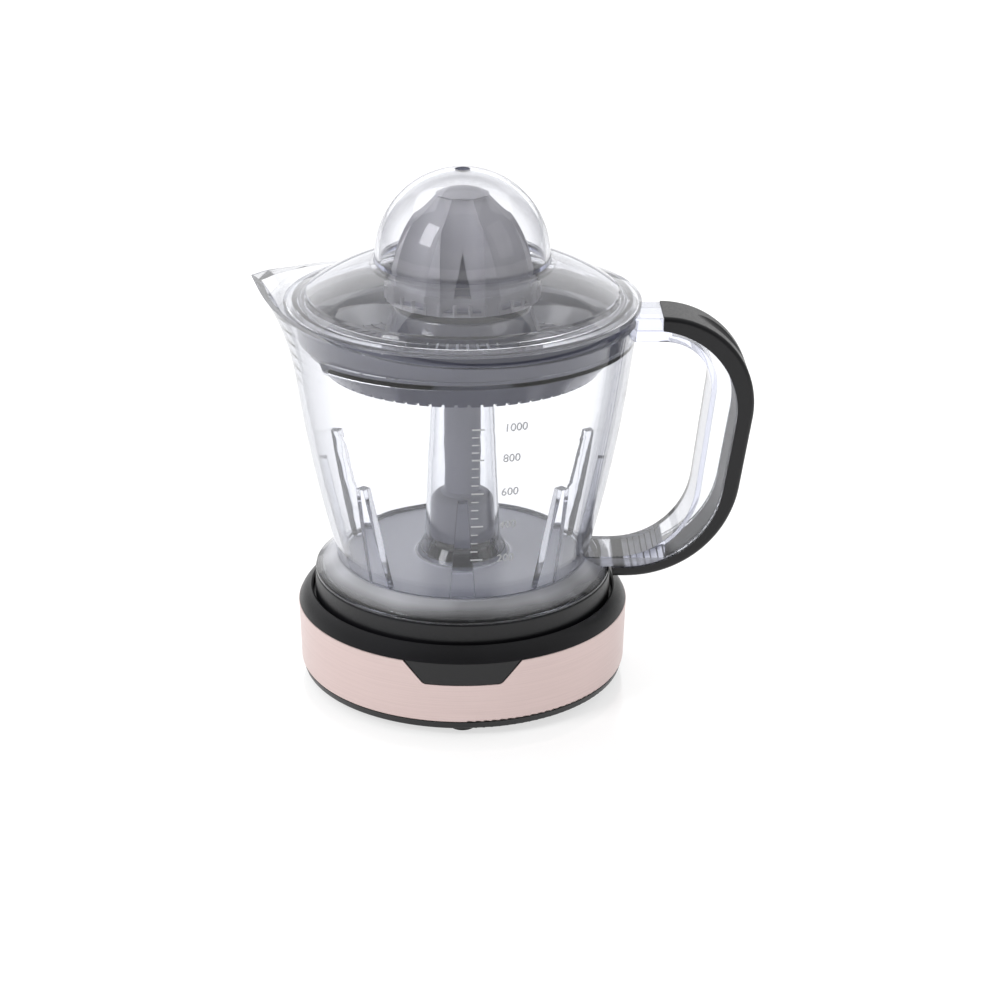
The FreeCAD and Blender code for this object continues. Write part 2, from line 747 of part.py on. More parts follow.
def make_spindle_bushes():
    lower = lathe([
        (JOURNAL_RADIUS + RUN, PLATE_Z - 1.0),
        (JOURNAL_RADIUS + 3.4, PLATE_Z - 1.0),
        (JOURNAL_RADIUS + 3.4, PLATE_Z),
        (JOURNAL_RADIUS + 2, PLATE_Z),
        (JOURNAL_RADIUS + 2, PLATE_Z + PLATE_THICK),
        (JOURNAL_RADIUS + RUN, PLATE_Z + PLATE_THICK),
    ])
    top = Z_TOP_PLATE + PLATE_THICK
    upper = lathe([
        (SPINDLE_RADIUS + RUN, Z_TOP_PLATE),
        (SPINDLE_RADIUS + 2, Z_TOP_PLATE),
        (SPINDLE_RADIUS + 2, top),
        (SPINDLE_RADIUS + 4.2, top),
        (SPINDLE_RADIUS + 4.2, top + 1.2),
        (SPINDLE_RADIUS + RUN, top + 1.2),
    ])
    return [lower, upper]


# Gear wheels
OUTPUT_PHASE = 0.0
SECOND_PINION_PHASE = meshed_phase(OUTPUT_SPOT, OUTPUT_TEETH, OUTPUT_PHASE, SECOND_SPOT, PINION_TEETH)
SECOND_WHEEL_PHASE = 0.0
FIRST_PINION_PHASE = meshed_phase(SECOND_SPOT, IDLER_TEETH, SECOND_WHEEL_PHASE, FIRST_SPOT, PINION_TEETH)
FIRST_WHEEL_PHASE = 0.0
ROTOR_PINION_PHASE = meshed_phase(FIRST_SPOT, IDLER_TEETH, FIRST_WHEEL_PHASE, ROTOR_SPOT, PINION_TEETH)
ROTOR_SHAFT_RADIUS = 1.6


def double_flat(radius, across, low, high):
    """Round bar with two flats."""
    bar = rod(radius, low, high)
    return bar.common(box(-radius - 1, radius + 1, -across / 2, across / 2, low, high))


def make_output_gear():
    wheel = gear(OUTPUT_TEETH, Z_OUTPUT, Z_OUTPUT + OUTPUT_FACE, OUTPUT_SPOT, OUTPUT_PHASE)
    dish = tube(OUTPUT_PITCH - 3.5, 9.0, Z_OUTPUT + OUTPUT_FACE - 1.4, Z_OUTPUT + OUTPUT_FACE)
    hub = rod(7.0, PLATE_Z + PLATE_THICK + 0.3, Z_TOP_PLATE - 0.5)
    bore = double_flat(SPINDLE_RADIUS + 0.1, FLAT_ACROSS + 0.2, PLATE_Z, Z_TOP_PLATE)
    return joined([wheel.cut(dish), hub]).cut(bore)


def make_second_idler():
    low = Z_OUTPUT + 0.3
    pinion = gear(PINION_TEETH, low, Z_SECOND, SECOND_SPOT, SECOND_PINION_PHASE)
    wheel = gear(IDLER_TEETH, Z_SECOND, Z_SECOND + SECOND_FACE, SECOND_SPOT, SECOND_WHEEL_PHASE)
    shoulder = rod(2.6, PLATE_Z + PLATE_THICK + 0.2, low, SECOND_SPOT)
    crown = rod(2.6, Z_SECOND + SECOND_FACE, Z_TOP_PLATE - 0.2, SECOND_SPOT)
    bore = rod(PIN_RADIUS + RUN, PLATE_Z, Z_TOP_PLATE, SECOND_SPOT)
    return joined([pinion, wheel, shoulder, crown]).cut(bore)


def make_first_idler():
    pinion = gear(PINION_TEETH, Z_SECOND - 0.2, Z_FIRST, FIRST_SPOT, FIRST_PINION_PHASE)
    wheel = gear(IDLER_TEETH, Z_FIRST, Z_FIRST + FIRST_FACE, FIRST_SPOT, FIRST_WHEEL_PHASE)
    shoulder = rod(2.6, PLATE_Z + PLATE_THICK + 0.2, Z_SECOND - 0.2, FIRST_SPOT)
    crown = rod(2.6, Z_FIRST + FIRST_FACE, Z_TOP_PLATE - 0.2, FIRST_SPOT)
    bore = rod(PIN_RADIUS + RUN, PLATE_Z, Z_TOP_PLATE, FIRST_SPOT)
    return joined([pinion, wheel, shoulder, crown]).cut(bore)


# Motor
def core_left():
    return ROTOR_SPOT[0] - POLE_LENGTH


def coil_start():
    return ROTOR_SPOT[0] + ROTOR_RADIUS + AIR_GAP + 2.0


def core_right():
    return coil_start() + COIL_LENGTH + 1.0 + YOKE_LENGTH


def core_edges():
    """Low and high Y of each core arm."""
    half = ARM_GAP / 2
    middle = ROTOR_SPOT[1]
    return [(middle - half - ARM_WIDTH, middle - half), (middle + half, middle + half + ARM_WIDTH)]


BRACKET_THICK = 1.5


def make_stator_core():
    edges = core_edges()
    low = CORE_Z
    high = CORE_Z + CORE_STACK
    arms = [box(core_left(), core_right(), edge[0], edge[1], low, high) for edge in edges]
    yoke = box(core_right() - YOKE_LENGTH, core_right(), edges[0][0], edges[1][1], low, high)
    shoe_end = ROTOR_SPOT[0] + ROTOR_RADIUS + AIR_GAP + 1.2
    shoes = [
        box(core_left(), shoe_end, edges[0][1] - 1, ROTOR_SPOT[1] - 2.0, low, high),
        box(core_left(), shoe_end, ROTOR_SPOT[1] + 2.0, edges[1][0] + 1, low, high),
    ]
    core = joined(arms + [yoke] + shoes)
    return core.cut(rod(ROTOR_RADIUS + AIR_GAP, low - 1, high + 1, ROTOR_SPOT))


def coil_ring(edge, start, length, inset, build):
    """Rectangular ring round one core arm."""
    low = CORE_Z
    high = CORE_Z + CORE_STACK
    far = inset + build
    outer = box(start, start + length, edge[0] - far, edge[1] + far, low - far, high + far)
    inner = box(start - 1, start + length + 1, edge[0] - inset, edge[1] + inset, low - inset, high + inset)
    return outer.cut(inner)


def make_coil_bobbins():
    bobbins = []
    for edge in core_edges():
        start = coil_start()
        sleeve = coil_ring(edge, start, COIL_LENGTH, 0, BOBBIN_WALL)
        cheeks = [
            coil_ring(edge, place, 1.0, 0, COIL_BUILD)
            for place in (start, start + COIL_LENGTH - 1.0)
        ]
        bobbins.append(joined([sleeve] + cheeks))
    return bobbins


def make_stator_coils():
    start = coil_start() + 1.0
    length = COIL_LENGTH - 2.0
    build = COIL_BUILD - BOBBIN_WALL - 0.4
    return [coil_ring(edge, start, length, BOBBIN_WALL, build) for edge in core_edges()]


def make_rotor_bracket():
    edges = core_edges()
    half = 6.0
    strap = box(
        ROTOR_SPOT[0] - half, ROTOR_SPOT[0] + half,
        edges[0][0] + 1, edges[1][1] - 1, CORE_Z - BRACKET_THICK, CORE_Z,
    )
    cup = rod(4.0, CORE_Z - 4.0, CORE_Z, ROTOR_SPOT)
    bracket = joined([strap, cup])
    return bracket.cut(rod(ROTOR_SHAFT_RADIUS + RUN, CORE_Z - 3.0, CORE_Z + 1, ROTOR_SPOT))


def make_rotor_shaft():
    return rod(ROTOR_SHAFT_RADIUS, CORE_Z - 3.0, Z_TOP_PLATE + PLATE_THICK - 0.2, ROTOR_SPOT)


def make_rotor_magnet():
    low = CORE_Z + (CORE_STACK - ROTOR_HEIGHT) / 2
    return tube(ROTOR_RADIUS, ROTOR_SHAFT_RADIUS, low, low + ROTOR_HEIGHT, ROTOR_SPOT)


def make_rotor_pinion():
    low = Z_FIRST - 0.3
    pinion = gear(PINION_TEETH, low, Z_FIRST + FIRST_FACE, ROTOR_SPOT, ROTOR_PINION_PHASE)
    sleeve_low = CORE_Z + (CORE_STACK + ROTOR_HEIGHT) / 2
    sleeve = rod(3.4, sleeve_low, low, ROTOR_SPOT)
    return joined([pinion, sleeve]).cut(rod(ROTOR_SHAFT_RADIUS, CORE_Z, Z_TOP_PLATE, ROTOR_SPOT))


# Press switch
Z_SWITCH_TOP = Z_PAN_FLOOR + SWITCH_HEIGHT
Z_BUTTON_TOP = Z_SWITCH_TOP + BUTTON_SHOW
Z_SPINDLE_FOOT = Z_BUTTON_TOP + CAP_HEIGHT
SWITCH_BACK = 6.0


def make_micro_switch():
    half = SWITCH_WIDTH / 2
    body = box(-half, half, SWITCH_BACK - SWITCH_LENGTH, SWITCH_BACK, Z_PAN_FLOOR, Z_SWITCH_TOP)
    pocket = rod(BUTTON_RADIUS + 0.1, Z_BUTTON_TOP - BUTTON_LENGTH - PRESS_TRAVEL - 0.3, Z_SWITCH_TOP + 1)
    body = body.cut(pocket)
    for spot in terminal_spots():
        body = body.cut(terminal_blade(spot))
    return body


def terminal_spots():
    """Y positions of the switch blades."""
    middle = SWITCH_BACK - SWITCH_LENGTH / 2
    return [middle - 7.0, middle - 2.5]


def terminal_blade(along):
    """Brass blade that leaves the side of the switch."""
    half = SWITCH_WIDTH / 2
    return box(half - 1.5, half + 5.0, along - 1.2, along + 1.2, Z_PAN_FLOOR + 2.5, Z_PAN_FLOOR + 3.1)


def make_switch_terminals():
    return [terminal_blade(along) for along in terminal_spots()]


def make_switch_button():
    return lathe([
        (0, Z_BUTTON_TOP - BUTTON_LENGTH),
        (BUTTON_RADIUS, Z_BUTTON_TOP - BUTTON_LENGTH),
        (BUTTON_RADIUS, Z_BUTTON_TOP, 0.5),
        (0, Z_BUTTON_TOP),
    ])


# Spindle
Z_CLIP = Z_TURRET - SEAL_HEIGHT - 1.5 - CLIP_THICK
Z_SPRING = Z_TOP_PLATE + PLATE_THICK + 1.2
CLIP_GROOVE = 0.6


def make_drive_spindle():
    flat_low = PLATE_Z + PLATE_THICK + 0.3 - PRESS_TRAVEL
    flat_high = Z_TOP_PLATE - 0.5 + PRESS_TRAVEL
    hex_low = Z_TURRET + 0.5
    journal = rod(JOURNAL_RADIUS, Z_SPINDLE_FOOT, flat_high)
    flats = double_flat(SPINDLE_RADIUS, FLAT_ACROSS, PLATE_Z + PLATE_THICK + PRESS_TRAVEL + 0.2, flat_high)
    upper = rod(SPINDLE_RADIUS, flat_high, hex_low)
    top = hex_bar(SPINDLE_HEX, hex_low, Z_SHAFT + SPINDLE_HEX_LENGTH)
    spindle = joined([journal, flats, upper, top])
    groove = tube(SPINDLE_RADIUS + 1, SPINDLE_RADIUS - CLIP_GROOVE, Z_CLIP, Z_CLIP + CLIP_THICK)
    return spindle.cut(groove)


def make_thrust_cap():
    return lathe([
        (0, Z_BUTTON_TOP),
        (JOURNAL_RADIUS - 0.4, Z_BUTTON_TOP, 0.4),
        (JOURNAL_RADIUS - 0.1, Z_SPINDLE_FOOT),
        (0, Z_SPINDLE_FOOT),
    ])


def make_spindle_clip():
    ring = tube(SPRING_RADIUS + 1.6, SPINDLE_RADIUS - CLIP_GROOVE, Z_CLIP, Z_CLIP + CLIP_THICK)
    mouth = SPINDLE_RADIUS - CLIP_GROOVE - 0.3
    return ring.cut(box(0, SPRING_RADIUS + 3, -mouth, mouth, Z_CLIP - 1, Z_CLIP + CLIP_THICK + 1))


def make_return_spring():
    low = Z_SPRING + SPRING_WIRE / 2
    height = Z_CLIP - Z_SPRING - SPRING_WIRE
    path = Part.Wire(Part.makeHelix(height / SPRING_TURNS, height, SPRING_RADIUS))
    profile = Part.Wire(Part.makeCircle(SPRING_WIRE / 2, V(SPRING_RADIUS, 0, 0), V(0, 1, 0)))
    coil = path.makePipeShell([profile], True, True)
    coil.translate(V(0, 0, low))
    return coil


def make_drive_shaft():
    top_of_collar = Z_SHAFT + SHAFT_COLLAR_HEIGHT
    shaft = lathe([
        (0, Z_SHAFT),
        (SHAFT_COLLAR_RADIUS, Z_SHAFT, 0.8),
        (SHAFT_COLLAR_RADIUS, top_of_collar),
        ("via", SHAFT_COLLAR_RADIUS - 1.3, top_of_collar + SHAFT_SHOULDER * 0.7),
        (SHAFT_COLLAR_RADIUS - 4.4, top_of_collar + SHAFT_SHOULDER),
        (SHAFT_RADIUS, top_of_collar + SHAFT_SHOULDER + 1.4),
        (SHAFT_RADIUS, Z_SHAFT_HEX, 0.6),
        (0, Z_SHAFT_HEX),
    ])
    nose = hex_bar(SHAFT_HEX, Z_SHAFT_HEX - 1, Z_SHAFT_TOP)
    socket = hex_bar(SPINDLE_HEX + 2 * SLIP, Z_SHAFT - 1, Z_SHAFT + SPINDLE_HEX_LENGTH)
    bell = tube(SHAFT_COLLAR_RADIUS - 2.2, SPINDLE_HEX, Z_SHAFT - 1, Z_SHAFT + SHAFT_COLLAR_HEIGHT - 4)
    return joined([shaft, nose]).cut(socket).cut(bell)


# Jug
COLLAR_INNER = COLLAR_RADIUS - COLLAR_WALL
Z_LEDGE = Z_RECESS + COLLAR_LEDGE


def make_jug_collar():
    return lathe([
        (COLLAR_RADIUS - COLLAR_WIDTH, Z_RECESS, 0.5),
        (COLLAR_RADIUS, Z_RECESS, 0.6),
        (COLLAR_RADIUS, Z_COLLAR_TOP, 0.7),
        (COLLAR_INNER, Z_COLLAR_TOP),
        (COLLAR_INNER, Z_LEDGE),
        (COLLAR_RADIUS - COLLAR_WIDTH, Z_LEDGE, 0.5),
    ])


def mouth(height, radius, shift, reach, inset):
    """Plan outline of the jug mouth at a height: half a circle to the handle, a beak to the spout."""
    big = math.sqrt(radius ** 2 + shift ** 2) - inset
    side = math.sqrt(big ** 2 - shift ** 2)
    if reach is None:
        straight = big - SPOUT_TIP_ROUND
        turn_off = math.acos(straight / (straight + SPOUT_START))
        tip_turn = math.asin(SPOUT_TIP_ROUND * math.sin(turn_off) / big)
        off = V(-big * math.cos(turn_off), -big * math.sin(turn_off), 0)
        tip_in = V(-big * math.cos(tip_turn), -big * math.sin(tip_turn), 0)
        tip = V(-big, 0, 0)
        half_turn = (turn_off + tip_turn) / 2
        between = V(-big * math.cos(half_turn), -big * math.sin(half_turn), 0)
    else:
        tip_round = SPOUT_TIP_ROUND - inset
        tip_centre = reach - SPOUT_TIP_ROUND
        turn_off = math.acos((big - tip_round) / (tip_centre - shift))
        off = V(-shift - big * math.cos(turn_off), -big * math.sin(turn_off), 0)
        tip_in = V(-tip_centre - tip_round * math.cos(turn_off), -tip_round * math.sin(turn_off), 0)
        tip = V(-tip_centre - tip_round, 0, 0)
        between = None
    bow = (math.pi / 2 - math.asin(shift / big) + turn_off) / 2
    side_mid = V(-shift - big * math.cos(bow), -big * math.sin(bow), 0)

    def mirrored(point):
        return V(point.x, -point.y, 0)

    front = V(0, -side, 0)
    edges = [
        Part.Arc(mirrored(front), V(side, 0, 0), front).toShape(),
        Part.Arc(front, side_mid, off).toShape(),
    ]
    if between is None:
        edges.append(Part.makeLine(off, tip_in))
    else:
        edges.append(Part.Arc(off, between, tip_in).toShape())
    edges.append(Part.Arc(tip_in, tip, mirrored(tip_in)).toShape())
    if between is None:
        edges.append(Part.makeLine(mirrored(tip_in), mirrored(off)))
    else:
        edges.append(Part.Arc(mirrored(tip_in), mirrored(between), mirrored(off)).toShape())
    edges.append(Part.Arc(mirrored(off), mirrored(side_mid), mirrored(front)).toShape())
    wire = Part.Wire(edges)
    wire.translate(V(0, 0, height))
    return wire


def mouth_radius(height):
    """Outer radius of the jug wall above the shoulder, at the front and the handle."""
    share = (height - Z_SHOULDER) / (Z_RIM - Z_SHOULDER)
    flare = RIM_RADIUS - SHOULDER_RADIUS
    return SHOULDER_RADIUS + flare * share * (1.1 - 0.1 * share)


def mouth_stack(inset):
    """Solid inside the upper jug wall, from the shoulder to above the spout tip."""
    top = Z_RIM + SPOUT_RISE * 1.2
    beak = SPOUT_REACH - RIM_RADIUS
    wires = [mouth(Z_SHOULDER, SHOULDER_RADIUS, 0.0, None, inset)]
    for step in range(1, MOUTH_STEPS):
        share = step / (MOUTH_STEPS - 1)
        height = Z_SHOULDER + (top - Z_SHOULDER) * share
        radius = mouth_radius(height)
        shift = beak * 0.88 * share ** 2.3
        reach = radius + shift + SPOUT_START + beak * 0.14 * share ** 3
        wires.append(mouth(height, radius, shift, reach, inset))
    return Part.makeLoft(wires, True, True)


def rim_cut():
    """Block above the slanting rim that rises to the spout tip."""
    high = Z_RIM + SPOUT_RISE * 2
    reach = SPOUT_REACH + 12
    lifts = [
        (reach, -0.04),
        (0.0, 0.0),
        (-0.32 * SPOUT_REACH, 0.12),
        (-0.56 * SPOUT_REACH, 0.30),
        (-0.72 * SPOUT_REACH, 0.46),
        (-0.88 * SPOUT_REACH, 0.67),
        (-SPOUT_REACH, 1.0),
        (-reach, 1.3),
    ]
    curve = Part.BSplineCurve()
    curve.interpolate([V(across, 0, Z_RIM + lift * SPOUT_RISE) for across, lift in lifts])
    left = V(-reach, 0, Z_RIM + lifts[-1][1] * SPOUT_RISE)
    right = V(reach, 0, Z_RIM + lifts[0][1] * SPOUT_RISE)
    edges = [
        curve.toShape(),
        Part.makeLine(left, V(-reach, 0, high + 20)),
        Part.makeLine(V(-reach, 0, high + 20), V(reach, 0, high + 20)),
        Part.makeLine(V(reach, 0, high + 20), right),
    ]
    face = Part.Face(Part.Wire(edges))
    face.translate(V(0, -reach, 0))
    return face.extrude(V(0, 2 * reach, 0))


def column_radius(height):
    """Outer radius of the clear column at a height."""
    share = (height - Z_JUG_FLOOR) / COLUMN_HEIGHT
    return COLUMN_FOOT_RADIUS + (COLUMN_TOP_RADIUS - COLUMN_FOOT_RADIUS) * share


def make_rib(degrees):
    """Tapered fin inside the jug wall."""
    foot_outer = JUG_FOOT_RADIUS - JUG_WALL * 0.5
    foot_inner = JUG_FOOT_RADIUS - JUG_WALL - RIB_DEPTH + 0.9
    top_outer = WAIST_RADIUS
    top_inner = WAIST_RADIUS + 0.6 - JUG_WALL - RIB_DEPTH
    rings = []
    for height, inner, outer, width in (
        (Z_JUG_FLOOR - 0.5, foot_inner, foot_outer, RIB_FOOT_WIDTH),
        (Z_JUG_FLOOR + RIB_HEIGHT, top_inner, top_outer, RIB_TOP_WIDTH),
    ):
        half = width / 2
        corners = [
            V(inner, -half, height),
            V(outer, -half, height),
            V(outer, half, height),
            V(inner, half, height),
        ]
        rings.append(Part.makePolygon(corners + corners[:1]))
    fin = Part.makeLoft(rings, True, True)
    return turned(fin, degrees - 90)


def make_jug_body():
    shoulder_inner = SHOULDER_RADIUS - JUG_WALL
    waist_inner = WAIST_RADIUS - JUG_WALL
    foot_inner = JUG_FOOT_RADIUS - JUG_WALL
    under = Z_JUG_FLOOR - JUG_FLOOR
    skirt_inner = COLLAR_INNER - SLIP - JUG_WALL
    column_top = column_radius(Z_COLUMN_TOP)
    column_low = Z_JUG_FLOOR + 8
    body = lathe([
        (skirt_inner, Z_LEDGE),
        (COLLAR_INNER - SLIP, Z_LEDGE, 0.4),
        (COLLAR_INNER - SLIP, Z_COLLAR_TOP),
        (COLLAR_RADIUS - 0.3, Z_COLLAR_TOP, 0.3),
        (COLLAR_RADIUS - 0.3, Z_COLLAR_TOP + 1.2, 0.6),
        (JUG_FOOT_RADIUS + 0.8, Z_WALL_FOOT - 0.8),
        (JUG_FOOT_RADIUS, Z_WALL_FOOT),
        ("via", WAIST_RADIUS, Z_WALL_FOOT + WAIST_HEIGHT),
        (SHOULDER_RADIUS, Z_SHOULDER),
        (shoulder_inner, Z_SHOULDER),
        ("via", waist_inner, Z_WALL_FOOT + WAIST_HEIGHT),
        (foot_inner, Z_WALL_FOOT),
        (foot_inner - 1.2, Z_JUG_FLOOR),
        (column_radius(Z_JUG_FLOOR) + 4.0, Z_JUG_FLOOR, 3.0),
        (column_radius(column_low), column_low, 6.0),
        (column_top, Z_COLUMN_TOP, 0.8),
        (SHAFT_RADIUS + 1.0, Z_COLUMN_TOP, 0.5),
        (SHAFT_RADIUS + 1.0, Z_COLUMN_TOP - 2.0),
        (column_top - COLUMN_WALL, Z_COLUMN_TOP - 2.0),
        (column_radius(column_low) - COLUMN_WALL, column_low),
        (column_radius(Z_JUG_FLOOR) + 0.4, under, 1.0),
        (foot_inner - 1.0, under, 2.0),
        (skirt_inner, Z_COLLAR_TOP - 0.6, 1.0),
    ])
    return body


def strainer_radius():
    """Outer radius of the strainer rim wall, just inside the jug wall at the seat."""
    return mouth_radius(Z_SEAT) - JUG_WALL - LOOSE


def make_seat_ring():
    """Ledge inside the wall that the strainer stands on, open to the spout for the juice."""
    inner = strainer_radius() - SEAT_WIDTH
    foot = Z_SEAT - SEAT_FOOT
    ring = lathe([
        (inner, Z_SEAT),
        (mouth_radius(Z_SEAT) - SEAT_SKIN, Z_SEAT),
        (mouth_radius(foot) - SEAT_SKIN, foot),
        (inner, Z_SEAT - SEAT_THICK),
    ])
    return ring.cut(box(-2 * RIM_RADIUS, 0, -SEAT_GAP / 2, SEAT_GAP / 2, foot - 1, Z_SEAT + 1))


# Handle
Z_GRIP_TOP = Z_RIM + GRIP_TOP_LIFT
Z_GRIP_FOOT = Z_COLLAR_TOP - GRIP_FOOT_LIFT
SIDE_LEAN = (GRIP_OUT_TOP - GRIP_OUT_FOOT) / (Z_GRIP_TOP - Z_GRIP_FOOT)


def side_line(height, inset):
    """X of the grip's outer side line at a height, moved in."""
    return GRIP_OUT_FOOT + SIDE_LEAN * (height - Z_GRIP_FOOT) - inset


def handle_arms(insets, rounds, starts):
    """Corners of one bow of the handle, from its top root round to its foot root.

    The insets, from the outside of the grip, are at the top, the upper side, the lower side and the foot.
    """
    top = Z_GRIP_TOP - insets[0]
    foot = Z_GRIP_FOOT + insets[3]
    return [
        (starts[0], top),
        (side_line(top, insets[1]), top, rounds[0]),
        (side_line(foot, insets[2]), foot, rounds[1]),
        (starts[1], foot),
    ]


def grip_inner(top_start, foot_start):
    """Bow where the clear handle and the grip touch."""
    return handle_arms(
        (GRIP_TOP_THICK, GRIP_SIDE_THICK, GRIP_SIDE_THICK, GRIP_FOOT_THICK),
        (GRIP_TOP_ROUND - 3.0, GRIP_FOOT_ROUND - 7.0),
        (top_start, foot_start),
    )


def loop_bow(web, top_start, foot_start):
    """Bow of the finger loop, moved out by a web thickness."""
    side = GRIP_SIDE_THICK + LOOP_SIDE_THICK - web
    return handle_arms(
        (
            GRIP_TOP_THICK + LOOP_TOP_THICK - web,
            side + LOOP_TOP_EXTRA,
            side,
            GRIP_FOOT_THICK + LOOP_FOOT_THICK - web,
        ),
        (LOOP_TOP_ROUND + web, LOOP_FOOT_ROUND + web),
        (top_start, foot_start),
    )


def make_handle():
    """Clear channel-shaped handle, from the rim to the skirt."""
    top_root = RIM_RADIUS - 2.2
    foot_root = JUG_FOOT_RADIUS - 1.8
    bow = side_slab(
        grip_inner(top_root, foot_root) + loop_bow(0, top_root, foot_root)[::-1], HANDLE_WIDTH / 2,
    )
    stub = box(
        top_root, GRIP_TOP_START - SLIP, -HANDLE_WIDTH / 2, HANDLE_WIDTH / 2,
        Z_GRIP_TOP - GRIP_TOP_THICK - LOOP_TOP_THICK, Z_GRIP_TOP - 0.6,
    )
    channel_top = GRIP_TOP_START - 6.0
    channel_foot = GRIP_FOOT_START - 4.0
    outside = GRIP_OUT_TOP + 5.0
    channel = side_slab(
        [
            (channel_top, Z_GRIP_TOP),
            (outside, Z_GRIP_TOP),
            (outside, Z_GRIP_FOOT),
            (channel_foot, Z_GRIP_FOOT),
        ] + loop_bow(HANDLE_WEB, channel_top, channel_foot)[::-1],
        HANDLE_WIDTH / 2 - HANDLE_FLANGE,
    )
    open_part = box(
        GRIP_TOP_START + 4.0, outside, -HANDLE_WIDTH, HANDLE_WIDTH, Z_GRIP_FOOT, Z_GRIP_TOP,
    )
    return joined([bow.cut(channel.common(open_part)), stub])


def make_jug():
    inside = mouth_stack(JUG_WALL)
    upper = mouth_stack(0).cut(inside).cut(rim_cut())
    handle = make_handle()
    ribs = [make_rib(degrees) for degrees in RIB_ANGLES]
    jug = joined([make_jug_body(), upper, make_seat_ring(), handle] + ribs)
    return jug


def upper_bend():
    """Centre of the grip's upper bend."""
    lean = math.atan(SIDE_LEAN)
    reach = GRIP_TOP_ROUND / math.tan((math.pi / 2 - lean) / 2)
    return V(side_line(Z_GRIP_TOP, 0) - reach, 0, Z_GRIP_TOP - GRIP_TOP_ROUND)


def thumb_scoop():
    """Bar that hollows the outside of the grip's upper bend for the thumb."""
    centre = upper_bend()
    points = []
    for degrees, clear in ((70, 0.6), (46, -THUMB_DEPTH), (22, 0.6)):
        out = GRIP_TOP_ROUND + THUMB_RADIUS + clear
        turn = math.radians(degrees)
        points.append(centre + V(out * math.cos(turn), 0, out * math.sin(turn)))
    return bent_bar(points[0], points[1], points[2], THUMB_RADIUS)


def make_handle_grip():
    early = GRIP_TOP_START - 12.0
    half = GRIP_WIDTH / 2
    block = side_slab(
        handle_arms((0, 0, 0, 0), (GRIP_TOP_ROUND, GRIP_FOOT_ROUND), (early, GRIP_FOOT_START)), half,
    )
    rims = []
    for edge in block.Edges:
        ends = edge.Vertexes
        on_side = all(abs(abs(end.Y) - half) < 1e-6 for end in ends)
        on_back = all(end.X < early + 1e-6 or end.X < GRIP_FOOT_START + 1e-6 for end in ends)
        if on_side and not on_back:
            rims.append(edge)
    block = block.makeFillet(GRIP_EDGE_ROUND, rims)
    inside = grip_inner(early - 2.0, GRIP_FOOT_START - 2.0)
    grip = block.cut(side_slab(inside, half + 5))
    grip = grip.cut(thumb_scoop())
    return grip.cut(box(early - 2, GRIP_TOP_START, -GRIP_WIDTH, GRIP_WIDTH, Z_GRIP_TOP - 40, Z_GRIP_TOP + 1))


# Strainer and cone bush
def make_strainer():
    rim = strainer_radius()
    wall = STRAINER_WALL
    step = rim - SEAT_WIDTH - LOOSE
    bend = step - BEND_IN
    lean = (bend - STRAINER_FOOT_RADIUS) / (Z_BEND - Z_STRAINER_FOOT)
    floor_edge = STRAINER_FOOT_RADIUS + lean * FLOOR_RISE - wall
    bowl = lathe([
        (rim - wall, Z_STRAINER_TOP, 0.4),
        (rim - wall, Z_SEAT + 1.4, 1.0),
        (step - wall, Z_SEAT - 0.4, 1.0),
        (bend - wall, Z_BEND, BEND_ROUND - wall),
        (floor_edge, Z_FLOOR_TOP, 2.0),
        (HUB_FOOT_RADIUS, Z_FLOOR_TOP, 2.0),
        (HUB_TOP_RADIUS, Z_HUB_TOP, 1.0),
        (BUSH_RADIUS + RUN, Z_HUB_TOP),
        (BUSH_RADIUS + RUN, Z_HUB_TOP - BUSH_DEPTH),
        (COLUMN_TOP_RADIUS + 1.3, Z_HUB_TOP - BUSH_DEPTH - 1.0),
        (COLUMN_TOP_RADIUS + 1.3 + 0.05 * HUB_TUBE_DROP, Z_HUB_TOP - HUB_TUBE_DROP),
        (COLUMN_TOP_RADIUS + 3.1 + 0.05 * HUB_TUBE_DROP, Z_HUB_TOP - HUB_TUBE_DROP),
        (BUSH_RADIUS + 2.6, Z_HUB_TOP - wall, 1.0),
        (HUB_TOP_RADIUS - wall, Z_HUB_TOP - wall, 1.0),
        (HUB_FOOT_RADIUS - wall, Z_FLOOR_TOP - wall, 1.0),
        (STRAINER_FOOT_RADIUS - wall - 1.0, Z_FLOOR_TOP - wall),
        (STRAINER_FOOT_RADIUS - wall - 0.6, Z_STRAINER_FOOT),
        (STRAINER_FOOT_RADIUS, Z_STRAINER_FOOT, 0.4),
        (bend, Z_BEND, BEND_ROUND),
        (step, Z_SEAT),
        (rim, Z_SEAT),
        (rim, Z_STRAINER_TOP, 0.4),
    ])
    slot = box(SLOT_INNER, STRAINER_FOOT_RADIUS + SLOT_NOTCH, -SLOT_WIDTH / 2, SLOT_WIDTH / 2,
               Z_STRAINER_FOOT - 1, Z_FLOOR_TOP + 0.6)
    slots = [turned(slot, (turn + 0.5) * 360 / SLOT_COUNT) for turn in range(SLOT_COUNT)]
    return bowl.cut(slots)


def make_cone_bush():
    sleeve = rod(BUSH_RADIUS, Z_HUB_TOP - BUSH_DEPTH + 0.3, Z_BUSH_TOP)
    flange = rod(BUSH_FLANGE_RADIUS, Z_HUB_TOP, Z_BUSH_TOP)
    bore = hex_bar(CONE_HUB_HEX + 2 * SLIP, Z_HUB_TOP - BUSH_DEPTH - 1, Z_BUSH_TOP + 1)
    return joined([sleeve, flange]).cut(bore)


# Cones
Z_CONE_SKIRT = Z_CONE + CONE_SKIRT_HEIGHT


